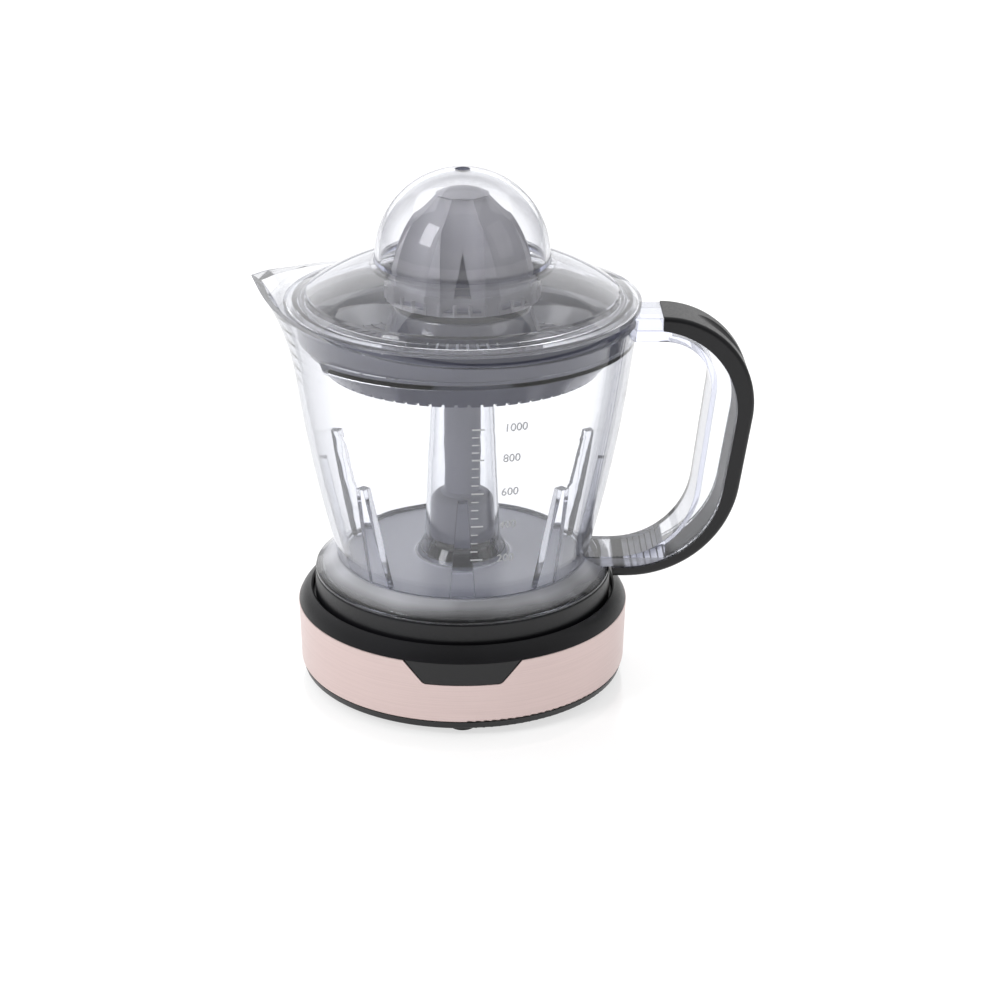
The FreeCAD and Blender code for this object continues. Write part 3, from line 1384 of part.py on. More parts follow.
def cone_profile():
    """Half outline of the big cone above its skirt, closed by a round cap."""
    rise = Z_CONE_TOP - Z_CONE_SKIRT
    radius = CONE_SKIRT_RADIUS - 0.6
    cap_reach = radius * 0.525
    cap_foot = Z_CONE_SKIRT + rise * 0.827
    cap_rise = Z_CONE_TOP - cap_foot
    cap_radius = (cap_reach ** 2 + cap_rise ** 2) / (2 * cap_rise)
    half_turn = math.asin(cap_reach / cap_radius) / 2
    cap_centre = Z_CONE_TOP - cap_radius
    return [
        (0, Z_CONE_SKIRT),
        (radius, Z_CONE_SKIRT),
        ("via", radius * 0.85, Z_CONE_SKIRT + rise * 0.446),
        (cap_reach, cap_foot),
        ("via", cap_radius * math.sin(half_turn), cap_centre + cap_radius * math.cos(half_turn)),
        (0, Z_CONE_TOP),
    ]


def flute(degrees):
    """Bar that carves one flute, deep at the skirt and running out near the top."""
    rise = Z_CONE_TOP - Z_CONE_SKIRT
    reach = CONE_SKIRT_RADIUS + FLUTE_RADIUS
    bar = bent_bar(
        V(reach - FLUTE_DEPTH, 0, Z_CONE_SKIRT - 6),
        V(reach - FLUTE_DEPTH - FLUTE_MIDDLE_IN, 0, Z_CONE_SKIRT + rise * 0.5),
        V(reach - FLUTE_DEPTH - FLUTE_TOP_IN, 0, Z_CONE_SKIRT + rise * 1.04),
        FLUTE_RADIUS,
    )
    return turned(bar, degrees)


def window(degrees):
    """Three-cornered opening in the foot of a flute."""
    rise = Z_CONE_TOP - Z_CONE_SKIRT
    face = Part.Face(Part.makePolygon([
        V(0, -WINDOW_WIDTH / 2, Z_CONE_SKIRT - 2.0),
        V(0, WINDOW_WIDTH / 2, Z_CONE_SKIRT - 2.0),
        V(0, 0, Z_CONE_SKIRT + rise * WINDOW_SHARE),
        V(0, -WINDOW_WIDTH / 2, Z_CONE_SKIRT - 2.0),
    ]))
    return turned(face.extrude(V(CONE_SKIRT_RADIUS + 5, 0, 0)), degrees)


def lemon_profile(gap):
    """Half outline of the small cone above its flange, moved out by a gap."""
    low = Z_CONE + CONE_FLANGE
    high = low + LEMON_HEIGHT
    radius = LEMON_RADIUS + gap
    return [
        (0, low),
        (radius, low),
        ("via", radius * 0.8, low + LEMON_HEIGHT * 0.5),
        (3.0 + gap, high - 1.0 + gap * 0.5),
        (0, high + gap * 0.5),
    ]


def make_lemon_cone():
    flange = rod(CONE_SKIRT_RADIUS - CONE_WALL - LOOSE, Z_CONE, Z_CONE + CONE_FLANGE)
    hub = hex_bar(CONE_HUB_HEX, Z_CONE - CONE_HUB_LENGTH, Z_CONE)
    socket = hex_bar(SHAFT_HEX + 2 * SLIP, Z_CONE - CONE_HUB_LENGTH - 1, Z_SHAFT_TOP)
    return joined([lathe(lemon_profile(0)), flange, hub]).cut(socket)


def make_orange_cone():
    skirt = rod(CONE_SKIRT_RADIUS, Z_CONE, Z_CONE_SKIRT)
    solid = joined([lathe(cone_profile()), skirt])
    flute_turns = [turn * 360 / FLUTES - 90 for turn in range(FLUTES)]
    solid = solid.cut([flute(degrees) for degrees in flute_turns])
    rib = rod(SKIRT_RIB_RADIUS, Z_CONE, Z_CONE + CONE_SKIRT_HEIGHT - 3.0, (CONE_SKIRT_RADIUS - 0.3, 0))
    solid = joined([solid] + [turned(rib, (turn + 0.5) * 360 / SKIRT_RIBS) for turn in range(SKIRT_RIBS)])
    solid = solid.cut(rod(CONE_SKIRT_RADIUS - CONE_WALL, Z_CONE - 1, Z_CONE + CONE_FLANGE))
    solid = solid.cut(lathe(lemon_profile(CONE_CAVITY_GAP)))
    solid = solid.cut(lathe(lemon_profile(LOOSE)))
    return solid.cut([window(degrees) for degrees in flute_turns[::2]])


# Dust cover
Z_LID = Z_STRAINER_TOP
Z_DOME = Z_LID + LID_BRIM_RISE + DOME_LIFT


def make_dust_cover():
    wall = LID_WALL
    foot = DOME_RADIUS + DOME_FOOT_WIDTH
    step = LID_STEP_RADIUS
    brim_top = Z_LID + LID_BRIM_RISE
    step_top = Z_LID + LID_STEP_RISE
    inner = DOME_RADIUS - wall
    vent_out = math.sqrt(DOME_RADIUS ** 2 - VENT_RADIUS ** 2)
    vent_in = math.sqrt(inner ** 2 - VENT_RADIUS ** 2)
    bow_radius = (step + foot) / 2
    bow_top = step_top + (brim_top - step_top) * 0.62
    half = math.sqrt(0.5)
    rib_outer = strainer_radius() - STRAINER_WALL - LOOSE
    return lathe([
        (LID_RADIUS - wall, Z_LID),
        (LID_RADIUS, Z_LID, 0.4),
        (LID_RADIUS, Z_LID + LID_RIM_HEIGHT),
        (step + 0.8, step_top - 0.9),
        (step, step_top),
        ("via", bow_radius, bow_top),
        (foot, brim_top),
        (DOME_RADIUS + 0.4, brim_top + 0.9),
        (DOME_RADIUS, Z_DOME),
        ("via", DOME_RADIUS * half, Z_DOME + DOME_RADIUS * half),
        (VENT_RADIUS, Z_DOME + vent_out),
        (VENT_RADIUS, Z_DOME + vent_in),
        ("via", inner * half, Z_DOME + inner * half),
        (inner, Z_DOME),
        (inner, brim_top - 0.6),
        (foot - 1.2, brim_top - wall),
        ("via", bow_radius - 0.8, bow_top - wall),
        (step - 0.6, step_top - wall),
        (rib_outer - 1.6, Z_LID - 2.4 + LID_STEP_RISE * 0.8),
        (rib_outer - 1.6, Z_LID - 2.4, 0.5),
        (rib_outer, Z_LID - 2.4, 0.5),
        (rib_outer, Z_LID),
        (strainer_radius(), Z_LID),
        (strainer_radius() + 0.6, Z_LID + 1.4),
        (LID_RADIUS - wall, Z_LID + 0.9),
    ])


# Pieces
PIECES = {
    "base_pan": make_base_pan,
    "trim_band": make_trim_band,
    "top_deck": make_top_deck,
    "front_badge": make_front_badge,
    "foot_pads": make_foot_pads,
    "pan_screws": make_pan_screws,
    "cord_gland": make_cord_gland,
    "spindle_seal": make_spindle_seal,
    "gear_plate": make_gear_plate,
    "gear_top_plate": make_gear_top_plate,
    "plate_pillars": make_plate_pillars,
    "plate_screws": make_plate_screws,
    "idler_pins": make_idler_pins,
    "spindle_bushes": make_spindle_bushes,
    "stator_core": make_stator_core,
    "coil_bobbins": make_coil_bobbins,
    "stator_coils": make_stator_coils,
    "rotor_bracket": make_rotor_bracket,
    "micro_switch": make_micro_switch,
    "switch_terminals": make_switch_terminals,
    "return_spring": make_return_spring,
    "switch_button": make_switch_button,
    "rotor_shaft": make_rotor_shaft,
    "rotor_magnet": make_rotor_magnet,
    "rotor_pinion": make_rotor_pinion,
    "first_idler": make_first_idler,
    "second_idler": make_second_idler,
    "output_gear": make_output_gear,
    "drive_spindle": make_drive_spindle,
    "thrust_cap": make_thrust_cap,
    "spindle_clip": make_spindle_clip,
    "drive_shaft": make_drive_shaft,
    "jug": make_jug,
    "jug_collar": make_jug_collar,
    "handle_grip": make_handle_grip,
    "strainer": make_strainer,
    "cone_bush": make_cone_bush,
    "lemon_cone": make_lemon_cone,
    "orange_cone": make_orange_cone,
    "dust_cover": make_dust_cover,
}

# Plan position of the drive axis that stands the whole centred on the origin
GRIP_REACH = upper_bend().x + GRIP_TOP_ROUND
AXIS_X = round((SPOUT_REACH - GRIP_REACH) / 2, 1)

os.makedirs("parts", exist_ok=True)
for name, make in PIECES.items():
    made = make()
    if isinstance(made, list):
        made = Part.makeCompound(made)
    made = moved(made, (AXIS_X, 0))
    made.exportStep("parts/" + name + ".step")
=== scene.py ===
"""Look of the citrus press juicer: materials, return spring, volume marks, floor, light and camera.

Lengths are in metres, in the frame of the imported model: Z up, front to -Y, spout to -X.
"""
import json
import math

import bpy
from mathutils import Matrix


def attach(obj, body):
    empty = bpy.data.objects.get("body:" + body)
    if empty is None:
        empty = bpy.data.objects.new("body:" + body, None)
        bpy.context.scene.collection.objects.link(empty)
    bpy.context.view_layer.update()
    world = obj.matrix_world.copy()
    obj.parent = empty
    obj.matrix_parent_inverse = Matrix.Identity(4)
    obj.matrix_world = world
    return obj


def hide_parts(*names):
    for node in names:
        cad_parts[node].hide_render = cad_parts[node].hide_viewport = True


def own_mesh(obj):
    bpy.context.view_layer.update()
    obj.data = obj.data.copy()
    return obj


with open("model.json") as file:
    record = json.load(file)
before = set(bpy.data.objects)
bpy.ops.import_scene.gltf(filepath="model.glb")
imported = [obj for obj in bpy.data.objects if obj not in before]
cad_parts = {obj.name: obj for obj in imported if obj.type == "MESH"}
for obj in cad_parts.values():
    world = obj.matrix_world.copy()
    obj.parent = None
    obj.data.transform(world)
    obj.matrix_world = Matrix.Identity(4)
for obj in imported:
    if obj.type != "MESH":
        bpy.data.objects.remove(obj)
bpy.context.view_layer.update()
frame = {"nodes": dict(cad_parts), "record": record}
NODES = frame["nodes"]
scene = bpy.context.scene

# Drive axis, round which the jug and the base are turned
AXIS_X = -0.0184

# Camera, at the photograph's viewing angle
CAMERA_BACK = 0.9653
CAMERA_UP = 0.4760
CAMERA_PITCH = math.radians(22.23)
CAMERA_LENS = 83.0
CAMERA_SENSOR = 36.0
CAMERA_SHIFT = 0.0375

# Spans of a noise factor over which a colour or another level runs from end to end
COLOUR_SPAN = (0.35, 0.65)
LEVEL_SPAN = (0.3, 0.7)

# Opaque materials: two tones, roughness from smooth to rough, and depth of the fine relief
DRIFT_SCALE = 28
DRIFT_DETAIL = 3
FINE_SCALE = 1400
FINE_DETAIL = 2
FINE_DEPTH = 0.0001
PLAIN_GLOSS = 0.5
EVEN = (1, 1, 1)
SLOT_LOOKS = {
    "black_plastic": {
        "tones": ((0.006, 0.006, 0.007), (0.009, 0.009, 0.011)), "rough": (0.34, 0.46), "relief": 0.25,
    },
    "badge_plastic": {
        "tones": ((0.005, 0.005, 0.006), (0.008, 0.008, 0.01)), "rough": (0.16, 0.22), "relief": 0.04,
    },
    "rose_metal": {
        "tones": ((0.77, 0.615, 0.59), (0.81, 0.65, 0.625)), "rough": (0.30, 0.40), "relief": 0.06,
        "metallic": 0.75, "stretch": (1, 1, 60), "fine_scale": 300,
    },
    "grey_plastic": {
        "tones": ((0.29, 0.29, 0.36), (0.33, 0.33, 0.40)), "rough": (0.42, 0.52), "relief": 0.10,
    },
    "strainer_plastic": {
        "tones": ((0.082, 0.085, 0.13), (0.096, 0.10, 0.145)), "rough": (0.10, 0.16), "relief": 0.03,
        "gloss": 1.0,
    },
    "gear_plastic": {
        "tones": ((0.78, 0.75, 0.66), (0.84, 0.82, 0.74)), "rough": (0.4, 0.5), "relief": 0.08,
    },
    "bobbin_plastic": {
        "tones": ((0.70, 0.66, 0.54), (0.76, 0.72, 0.60)), "rough": (0.4, 0.5), "relief": 0.08,
    },
    "switch_plastic": {
        "tones": ((0.03, 0.03, 0.035), (0.05, 0.05, 0.06)), "rough": (0.3, 0.4), "relief": 0.08,
    },
    "steel": {
        "tones": ((0.52, 0.52, 0.54), (0.62, 0.62, 0.64)), "rough": (0.22, 0.34), "relief": 0.08,
        "metallic": 1.0, "stretch": (1, 8, 1),
    },
    "core_steel": {
        "tones": ((0.24, 0.24, 0.26), (0.34, 0.34, 0.36)), "rough": (0.4, 0.55), "relief": 0.3,
        "metallic": 1.0, "stretch": (1, 1, 30),
    },
    "magnet": {
        "tones": ((0.05, 0.05, 0.055), (0.09, 0.09, 0.10)), "rough": (0.45, 0.6), "relief": 0.2,
    },
    "copper_wire": {
        "tones": ((0.55, 0.22, 0.10), (0.72, 0.34, 0.17)), "rough": (0.25, 0.4), "relief": 0.5,
        "metallic": 1.0, "fine_scale": 900,
    },
    "brass": {
        "tones": ((0.70, 0.54, 0.26), (0.78, 0.62, 0.32)), "rough": (0.2, 0.32), "relief": 0.06,
        "metallic": 1.0,
    },
    "rubber": {
        "tones": ((0.012, 0.012, 0.012), (0.022, 0.022, 0.022)), "rough": (0.6, 0.75), "relief": 0.3,
    },
}
CONE_LOOK = {
    "tones": ((0.40, 0.395, 0.43), (0.45, 0.445, 0.48)), "rough": (0.42, 0.52), "relief": 0.10,
}
MARK_LOOK = {
    "tones": ((0.92, 0.93, 0.95), (0.95, 0.96, 0.98)), "rough": (0.35, 0.45), "relief": 0.05,
}

# Clear plastic
JUG_TONES = ((0.97, 0.975, 0.985), (0.985, 0.988, 0.995))
COVER_TONES = ((0.97, 0.972, 0.985), (0.985, 0.986, 0.995))
COVER_HAZE = 0.035
CLEAR_DETAIL = 2
CLEAR_TONE_SCALE = 18
CLEAR_ROUGH_SCALE = 60
CLEAR_ROUGH = (0.0, 0.02)
CLEAR_IOR = 1.49
ABSORB_COLOUR = (0.45, 0.50, 0.80)
ABSORB_DENSITY = 16.0

# Painted shade on the edges and corners of clear plastic: a dark tint and less clearness where the
# surface turns away from the view
EDGE_SHADE_TINT = (0.17, 0.185, 0.26)
EDGE_VEIL = 0.55
EDGE_BLEND = 0.5
EDGE_START = 0.40
EDGE_MIDDLE = 0.70
EDGE_MIDDLE_SHARE = 0.28
CORNER_ROUND = 0.0009
CORNER_SAMPLES = 4
CORNER_SPAN = (0.98, 0.75)
CORNER_SHARE = 0.75

# Frosting on the jug floor; on the upper part of the skirt round it, streaks of frosting that are partly
# painted sheen
FROST_AND_SHEEN_COLOUR = (0.86, 0.87, 0.95)
FROST_AND_SHEEN_CLEAR = 0.18
FROST_ROUGH = (0.01, 0.30)
JUG_FLOOR_Z = 0.0574
JUG_FLOOR_FADE = (0.0003, 0.0012)
JUG_FLOOR_RADIUS = 0.0526
JUG_FLOOR_EDGE = 0.001
SKIRT_FOOT_Z = 0.0518
SKIRT_FADE = 0.0042
SKIRT_FROST_AND_SHEEN = (0.0, 0.80)
STREAK_SCALE = 26
STREAK_DETAIL = 1
STREAK_SPAN = (0.38, 0.62)
STREAK_SHARE = (0.55, 1.0)

# Volume marks, moulded proud of the jug's front wall; the wall is given by three of its points
WALL_HEIGHTS = (0.0583, 0.1043, 0.1400)
WALL_RADII = (0.0566, 0.0674, 0.0733)
MARK_HEIGHTS = (0.0789, 0.0960, 0.1122, 0.1284, 0.1427)
MARK_STEP = 200
MARK_RELIEF = 0.00025
TICK_ANGLE = math.radians(3.1)
TICK_SIZE = (0.0052, 0.0007)
SMALL_TICKS = 3
SMALL_TICK_SIZE = (0.0030, 0.0005)
TICK_STEPS = 8
NUMERAL_ANGLE = math.radians(13.6)
NUMERAL_HEIGHT = 0.0052

# Floor; its gloss and its own brightness change between the near and the far distance
FLOOR_SIZE = 6.0
FLOOR_TONES = ((0.40, 0.40, 0.40), (0.42, 0.42, 0.42))
FLOOR_DRIFT_SCALE = 3
FLOOR_DRIFT_DETAIL = 2
FLOOR_ROUGH = (0.10, 0.14)
FLOOR_NEAR = 0.35
FLOOR_FAR = 1.1
FLOOR_GLOSS = (0.5, 0.0)
FLOOR_LIFT = (0.66, 0.85)

# World: brightness from the front to the back, and the height below which clear pieces show white
STUDIO_SPAN = (-0.9, 0.5)
STUDIO_LEVEL = (0.15, 0.75)
WHITE_SPAN = (0.30, 0.45)

# Softboxes; only a mirrored one shows as a reflection
LIGHT_AIM = (0, 0, 0.12)
LIGHTS = {
    "softbox_left": {
        "place": (-0.9, -0.6, 0.9), "size": (0.4, 0.6), "power": 9, "mirrored": False,
    },
    "softbox_right": {
        "place": (0.9, -0.5, 0.7), "size": (0.5, 0.9), "power": 1.5, "mirrored": False,
    },
    "softbox_top": {
        "place": (0, 0, 1.2), "size": (0.7, 0.7), "power": 1.5, "mirrored": False,
    },
    "softbox_skirt_left": {
        "place": (-0.62, 0.34, 1.05), "size": (0.75, 0.55), "power": 3.0, "mirrored": False,
    },
    "softbox_skirt_right": {
        "place": (0.62, 0.34, 1.05), "size": (0.75, 0.55), "power": 2.0, "mirrored": False,
    },
    "softbox_back": {
        "place": (0, 1.6, 0.75), "size": (2.2, 1.2), "power": 6, "mirrored": True,
    },
}


# Node helpers
def new_material(name):
    """Material with its node tree and its main shader, joined to the output."""
    material = bpy.data.materials.new(name)
    material.use_nodes = True
    tree = material.node_tree
    tree.nodes.clear()
    output = tree.nodes.new("ShaderNodeOutputMaterial")
    shader = tree.nodes.new("ShaderNodeBsdfPrincipled")
    tree.links.new(shader.outputs["BSDF"], output.inputs["Surface"])
    return material, tree, shader


def noise(tree, scale, detail, stretch=EVEN):
    """Noise in object space; stretch squeezes it along each axis."""
    coordinates = tree.nodes.new("ShaderNodeTexCoord")
    mapping = tree.nodes.new("ShaderNodeMapping")
    mapping.inputs["Scale"].default_value = stretch
    texture = tree.nodes.new("ShaderNodeTexNoise")
    texture.inputs["Scale"].default_value = scale
    texture.inputs["Detail"].default_value = detail
    tree.links.new(coordinates.outputs["Object"], mapping.inputs["Vector"])
    tree.links.new(mapping.outputs["Vector"], texture.inputs["Vector"])
    return texture.outputs["Fac"]


def colour_ramp(tree, factor, tones):
    """Colour that runs between two tones with a noise factor."""
    ramp = tree.nodes.new("ShaderNodeValToRGB")
    for element, position, tone in zip(ramp.color_ramp.elements, COLOUR_SPAN, tones):
        element.position = position
        element.color = (*tone, 1)
    tree.links.new(factor, ramp.inputs["Fac"])
    return ramp.outputs["Color"]


def mixed_colour(tree, factor, first, second):
    """Colour between a linked colour and a fixed second one, by a factor."""
    node = tree.nodes.new("ShaderNodeMix")
    node.data_type = "RGBA"
    tree.links.new(factor, node.inputs[0])
    tree.links.new(first, node.inputs[6])
    node.inputs[7].default_value = (*second, 1)
    return node.outputs[2]


def fade(tree, value, start, end, low, high):
    """Number that runs from low to high while a linked value runs from start to end."""
    node = tree.nodes.new("ShaderNodeMapRange")
    node.inputs["From Min"].default_value = start
    node.inputs["From Max"].default_value = end
    node.inputs["To Min"].default_value = low
    node.inputs["To Max"].default_value = high
    tree.links.new(value, node.inputs["Value"])
    return node.outputs["Result"]


def two_numbers(tree, operation, first, second):
    """Result of a Math node's operation on two linked numbers."""
    node = tree.nodes.new("ShaderNodeMath")
    node.operation = operation
    tree.links.new(first, node.inputs[0])
    tree.links.new(second, node.inputs[1])
    return node.outputs["Value"]


def product(tree, first, second):
    """Product of two linked numbers."""
    return two_numbers(tree, "MULTIPLY", first, second)


def greater(tree, first, second):
    """Greater of two linked numbers."""
    return two_numbers(tree, "MAXIMUM", first, second)


def length(tree, vector):
    """Length of a linked vector."""
    node = tree.nodes.new("ShaderNodeVectorMath")
    node.operation = "LENGTH"
    tree.links.new(vector, node.inputs[0])
    return node.outputs["Value"]


# Opaque materials
def grain(tree, shader, factor, strength):
    """Fine surface relief from a noise factor."""
    bump = tree.nodes.new("ShaderNodeBump")
    bump.inputs["Strength"].default_value = strength
    bump.inputs["Distance"].default_value = FINE_DEPTH
    tree.links.new(factor, bump.inputs["Height"])
    tree.links.new(bump.outputs["Normal"], shader.inputs["Normal"])


def solid_finish(
    name, tones, rough, relief, metallic=0.0, stretch=EVEN, fine_scale=FINE_SCALE, gloss=PLAIN_GLOSS,
):
    """Opaque material with drifting tone, uneven gloss and fine relief."""
    material, tree, shader = new_material(name)
    drift = noise(tree, DRIFT_SCALE, DRIFT_DETAIL, stretch)
    fine = noise(tree, fine_scale, FINE_DETAIL, stretch)
    tree.links.new(colour_ramp(tree, drift, tones), shader.inputs["Base Color"])
    tree.links.new(fade(tree, fine, *LEVEL_SPAN, *rough), shader.inputs["Roughness"])
    grain(tree, shader, fine, relief)
    shader.inputs["Metallic"].default_value = metallic
    shader.inputs["Specular IOR Level"].default_value = gloss
    return material


# Clear materials
def painted_edge_shade(tree):
    """Grows where the surface turns away from the view; it paints shade into clear plastic along its
    edges.
    """
    weight = tree.nodes.new("ShaderNodeLayerWeight")
    weight.inputs["Blend"].default_value = EDGE_BLEND
    ramp = tree.nodes.new("ShaderNodeValToRGB")
    first, last = ramp.color_ramp.elements
    first.position = EDGE_START
    first.color = (0, 0, 0, 1)
    last.position = 1.0
    last.color = (1, 1, 1, 1)
    middle = ramp.color_ramp.elements.new(EDGE_MIDDLE)
    middle.color = (EDGE_MIDDLE_SHARE, EDGE_MIDDLE_SHARE, EDGE_MIDDLE_SHARE, 1)
    tree.links.new(weight.outputs["Facing"], ramp.inputs["Fac"])
    return ramp.outputs["Color"]


def painted_corner_shade(tree):
    """Grows along sharp corners, as if they were rounded; it paints shade along them."""
    rounded = tree.nodes.new("ShaderNodeBevel")
    rounded.samples = CORNER_SAMPLES
    rounded.inputs["Radius"].default_value = CORNER_ROUND
    surface = tree.nodes.new("ShaderNodeNewGeometry")
    alike = tree.nodes.new("ShaderNodeVectorMath")
    alike.operation = "DOT_PRODUCT"
    tree.links.new(rounded.outputs["Normal"], alike.inputs[0])
    tree.links.new(surface.outputs["Normal"], alike.inputs[1])
    return fade(tree, alike.outputs["Value"], *CORNER_SPAN, 0.0, CORNER_SHARE)


def frost_and_sheen_factor(tree):
    """One on the jug floor, less on the skirt below its level, and nothing on the walls; on the skirt it
    comes in streaks and is partly painted sheen.
    """
    coordinates = tree.nodes.new("ShaderNodeTexCoord")
    split = tree.nodes.new("ShaderNodeSeparateXYZ")
    tree.links.new(coordinates.outputs["Object"], split.inputs["Vector"])
    height = split.outputs["Z"]
    flat = tree.nodes.new("ShaderNodeMapping")
    flat.inputs["Location"].default_value = (-AXIS_X, 0, 0)
    flat.inputs["Scale"].default_value = (1, 1, 0)
    tree.links.new(coordinates.outputs["Object"], flat.inputs["Vector"])
    radius = length(tree, flat.outputs["Vector"])
    full, none = [JUG_FLOOR_Z + rise for rise in JUG_FLOOR_FADE]
    low = fade(tree, height, full, none, 1.0, 0.0)
    inside = fade(tree, radius, JUG_FLOOR_RADIUS, JUG_FLOOR_RADIUS + JUG_FLOOR_EDGE, 1.0, 0.0)
    # Skirt share, growing with height and broken into streaks: partly frosting, partly painted sheen
    rising = fade(tree, height, SKIRT_FOOT_Z, SKIRT_FOOT_Z + SKIRT_FADE, *SKIRT_FROST_AND_SHEEN)
    patches = noise(tree, STREAK_SCALE, STREAK_DETAIL, (1, 1, 0))
    streaks = fade(tree, patches, *STREAK_SPAN, *STREAK_SHARE)
    return product(tree, low, greater(tree, inside, product(tree, rising, streaks)))


def clear_finish(name, tones, haze=0.0, frosted_with_sheen=False):
    """Clear moulded plastic: faint drifting tint, painted shade at edges and corners, uneven gloss, and
    frosting if asked for, with painted sheen in its streaks on the skirt.
    """
    material, tree, shader = new_material(name)
    drift = noise(tree, CLEAR_TONE_SCALE, CLEAR_DETAIL)
    # Painted shade: dark tint and less clearness where the surface turns away from the view or runs
    # round a corner
    painted_shade = greater(tree, painted_edge_shade(tree), painted_corner_shade(tree))
    tint = mixed_colour(tree, painted_shade, colour_ramp(tree, drift, tones), EDGE_SHADE_TINT)
    clear = fade(tree, painted_shade, 0, 1, 1.0 - haze, 1.0 - EDGE_VEIL)
    if frosted_with_sheen:
        # Frosting on the floor; on the skirt, partly painted sheen
        frost_and_sheen = frost_and_sheen_factor(tree)
        tint = mixed_colour(tree, frost_and_sheen, tint, FROST_AND_SHEEN_COLOUR)
        clear = product(tree, clear, fade(tree, frost_and_sheen, 0, 1, 1.0, FROST_AND_SHEEN_CLEAR))
        rough = fade(tree, frost_and_sheen, 0, 1, *FROST_ROUGH)
    else:
        uneven = noise(tree, CLEAR_ROUGH_SCALE, CLEAR_DETAIL)
        rough = fade(tree, uneven, *LEVEL_SPAN, *CLEAR_ROUGH)
    tree.links.new(tint, shader.inputs["Base Color"])
    tree.links.new(clear, shader.inputs["Transmission Weight"])
    tree.links.new(rough, shader.inputs["Roughness"])
    shader.inputs["IOR"].default_value = CLEAR_IOR
    absorb = tree.nodes.new("ShaderNodeVolumeAbsorption")
    absorb.inputs["Color"].default_value = (*ABSORB_COLOUR, 1)
    absorb.inputs["Density"].default_value = ABSORB_DENSITY
    output = shader.outputs["BSDF"].links[0].to_node
    tree.links.new(absorb.outputs["Volume"], output.inputs["Volume"])
    return material


def paint_nodes():
    """Gives every CAD node its own finish, or else the finish of its slot."""
    slot_finishes = {slot: solid_finish(slot, **look) for slot, look in SLOT_LOOKS.items()}
    node_finishes = {
        "jug": clear_finish("clear_jug", JUG_TONES, frosted_with_sheen=True),
        "dust_cover": clear_finish("clear_cover", COVER_TONES, COVER_HAZE),
        "orange_cone": solid_finish("cone_plastic", **CONE_LOOK),
    }
    for part in frame["record"]["subparts"]:
        node = part["node"]
        mesh = NODES[node].data
        mesh.materials.clear()
        if node in node_finishes:
            mesh.materials.append(node_finishes[node])
        else:
            mesh.materials.append(slot_finishes[part["material_slot"]])


# Return spring
def make_spring():
    """Copy of the CAD spring, carried by the base, in place of the hidden CAD node."""
    piece = bpy.data.objects.new("spring_coil", NODES["return_spring"].data.copy())
    scene.collection.objects.link(piece)
    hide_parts("return_spring")
    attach(piece, "base")
    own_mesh(piece)


# Volume marks
def wall_radius(height):
    """Outside radius of the jug wall, on the parabola through three of its points."""
    (z0, z1, z2), (r0, r1, r2) = WALL_HEIGHTS, WALL_RADII
    first = r0 * (height - z1) * (height - z2) / ((z0 - z1) * (z0 - z2))
    second = r1 * (height - z0) * (height - z2) / ((z1 - z0) * (z1 - z2))
    third = r2 * (height - z0) * (height - z1) / ((z2 - z0) * (z2 - z1))
    return first + second + third


def on_wall(angle, height, lift):
    """Point on the jug's front wall; the angle runs to the right from the front."""
    radius = wall_radius(height) + lift
    return (AXIS_X + radius * math.sin(angle), -radius * math.cos(angle), height)


def bar_mesh(name, size):
    """Flat bar with a little relief, divided along its width so that it bends."""
    width, height = size
    vertices = []
    faces = []
    for step in range(TICK_STEPS + 1):
        across = width * step / TICK_STEPS
        for up, lift in ((-0.5, 0.0), (-0.5, 1.0), (0.5, 1.0), (0.5, 0.0)):
            vertices.append((across, up * height, lift * MARK_RELIEF))
    for step in range(TICK_STEPS):
        here = step * 4
        for side in range(4):
            after = (side + 1) % 4
            faces.append((here + side, here + after, here + 4 + after, here + 4 + side))
    faces.append((3, 2, 1, 0))
    last = TICK_STEPS * 4
    faces.append((last, last + 1, last + 2, last + 3))
    mesh = bpy.data.meshes.new(name)
    mesh.from_pydata(vertices, [], faces)
    return mesh


def numeral_mesh(name, digits):
    """Flat numeral with a little relief, as a mesh."""
    curve = bpy.data.curves.new(name, "FONT")
    curve.body = digits
    curve.size = NUMERAL_HEIGHT
    curve.extrude = MARK_RELIEF
    curve.align_y = "CENTER"
    helper = bpy.data.objects.new(name + "_helper", curve)
    scene.collection.objects.link(helper)
    bpy.context.view_layer.update()
    evaluated = helper.evaluated_get(bpy.context.evaluated_depsgraph_get())
    mesh = bpy.data.meshes.new_from_object(evaluated)
    bpy.data.objects.remove(helper)
    return mesh


def add_mark(name, mesh, finish, angle, height):
    """Lays a flat mesh, X to the right and Y up, on the jug wall at an angle and height."""
    for vertex in mesh.vertices:
        turn = angle + vertex.co.x / wall_radius(height)
        vertex.co = on_wall(turn, height + vertex.co.y, vertex.co.z)
    mesh.materials.clear()
    mesh.materials.append(finish)
    piece = bpy.data.objects.new(name, mesh)
    scene.collection.objects.link(piece)
    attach(piece, "jug")


def make_marks():
    """Long ticks with their numerals, and short ticks between them."""
    finish = solid_finish("mark_plastic", **MARK_LOOK)
    for index, height in enumerate(MARK_HEIGHTS):
        label = str(MARK_STEP * (index + 1))
        tick = "tick_" + label
        numeral = "numeral_" + label
        add_mark(tick, bar_mesh(tick, TICK_SIZE), finish, TICK_ANGLE, height)
        add_mark(numeral, numeral_mesh(numeral, label), finish, NUMERAL_ANGLE, height)
        if height == MARK_HEIGHTS[-1]:
            break
        gap = MARK_HEIGHTS[index + 1] - height
        for small in range(1, SMALL_TICKS + 1):
            between = height + gap * small / (SMALL_TICKS + 1)
            name = tick + "_" + str(small)
            add_mark(name, bar_mesh(name, SMALL_TICK_SIZE), finish, TICK_ANGLE, between)


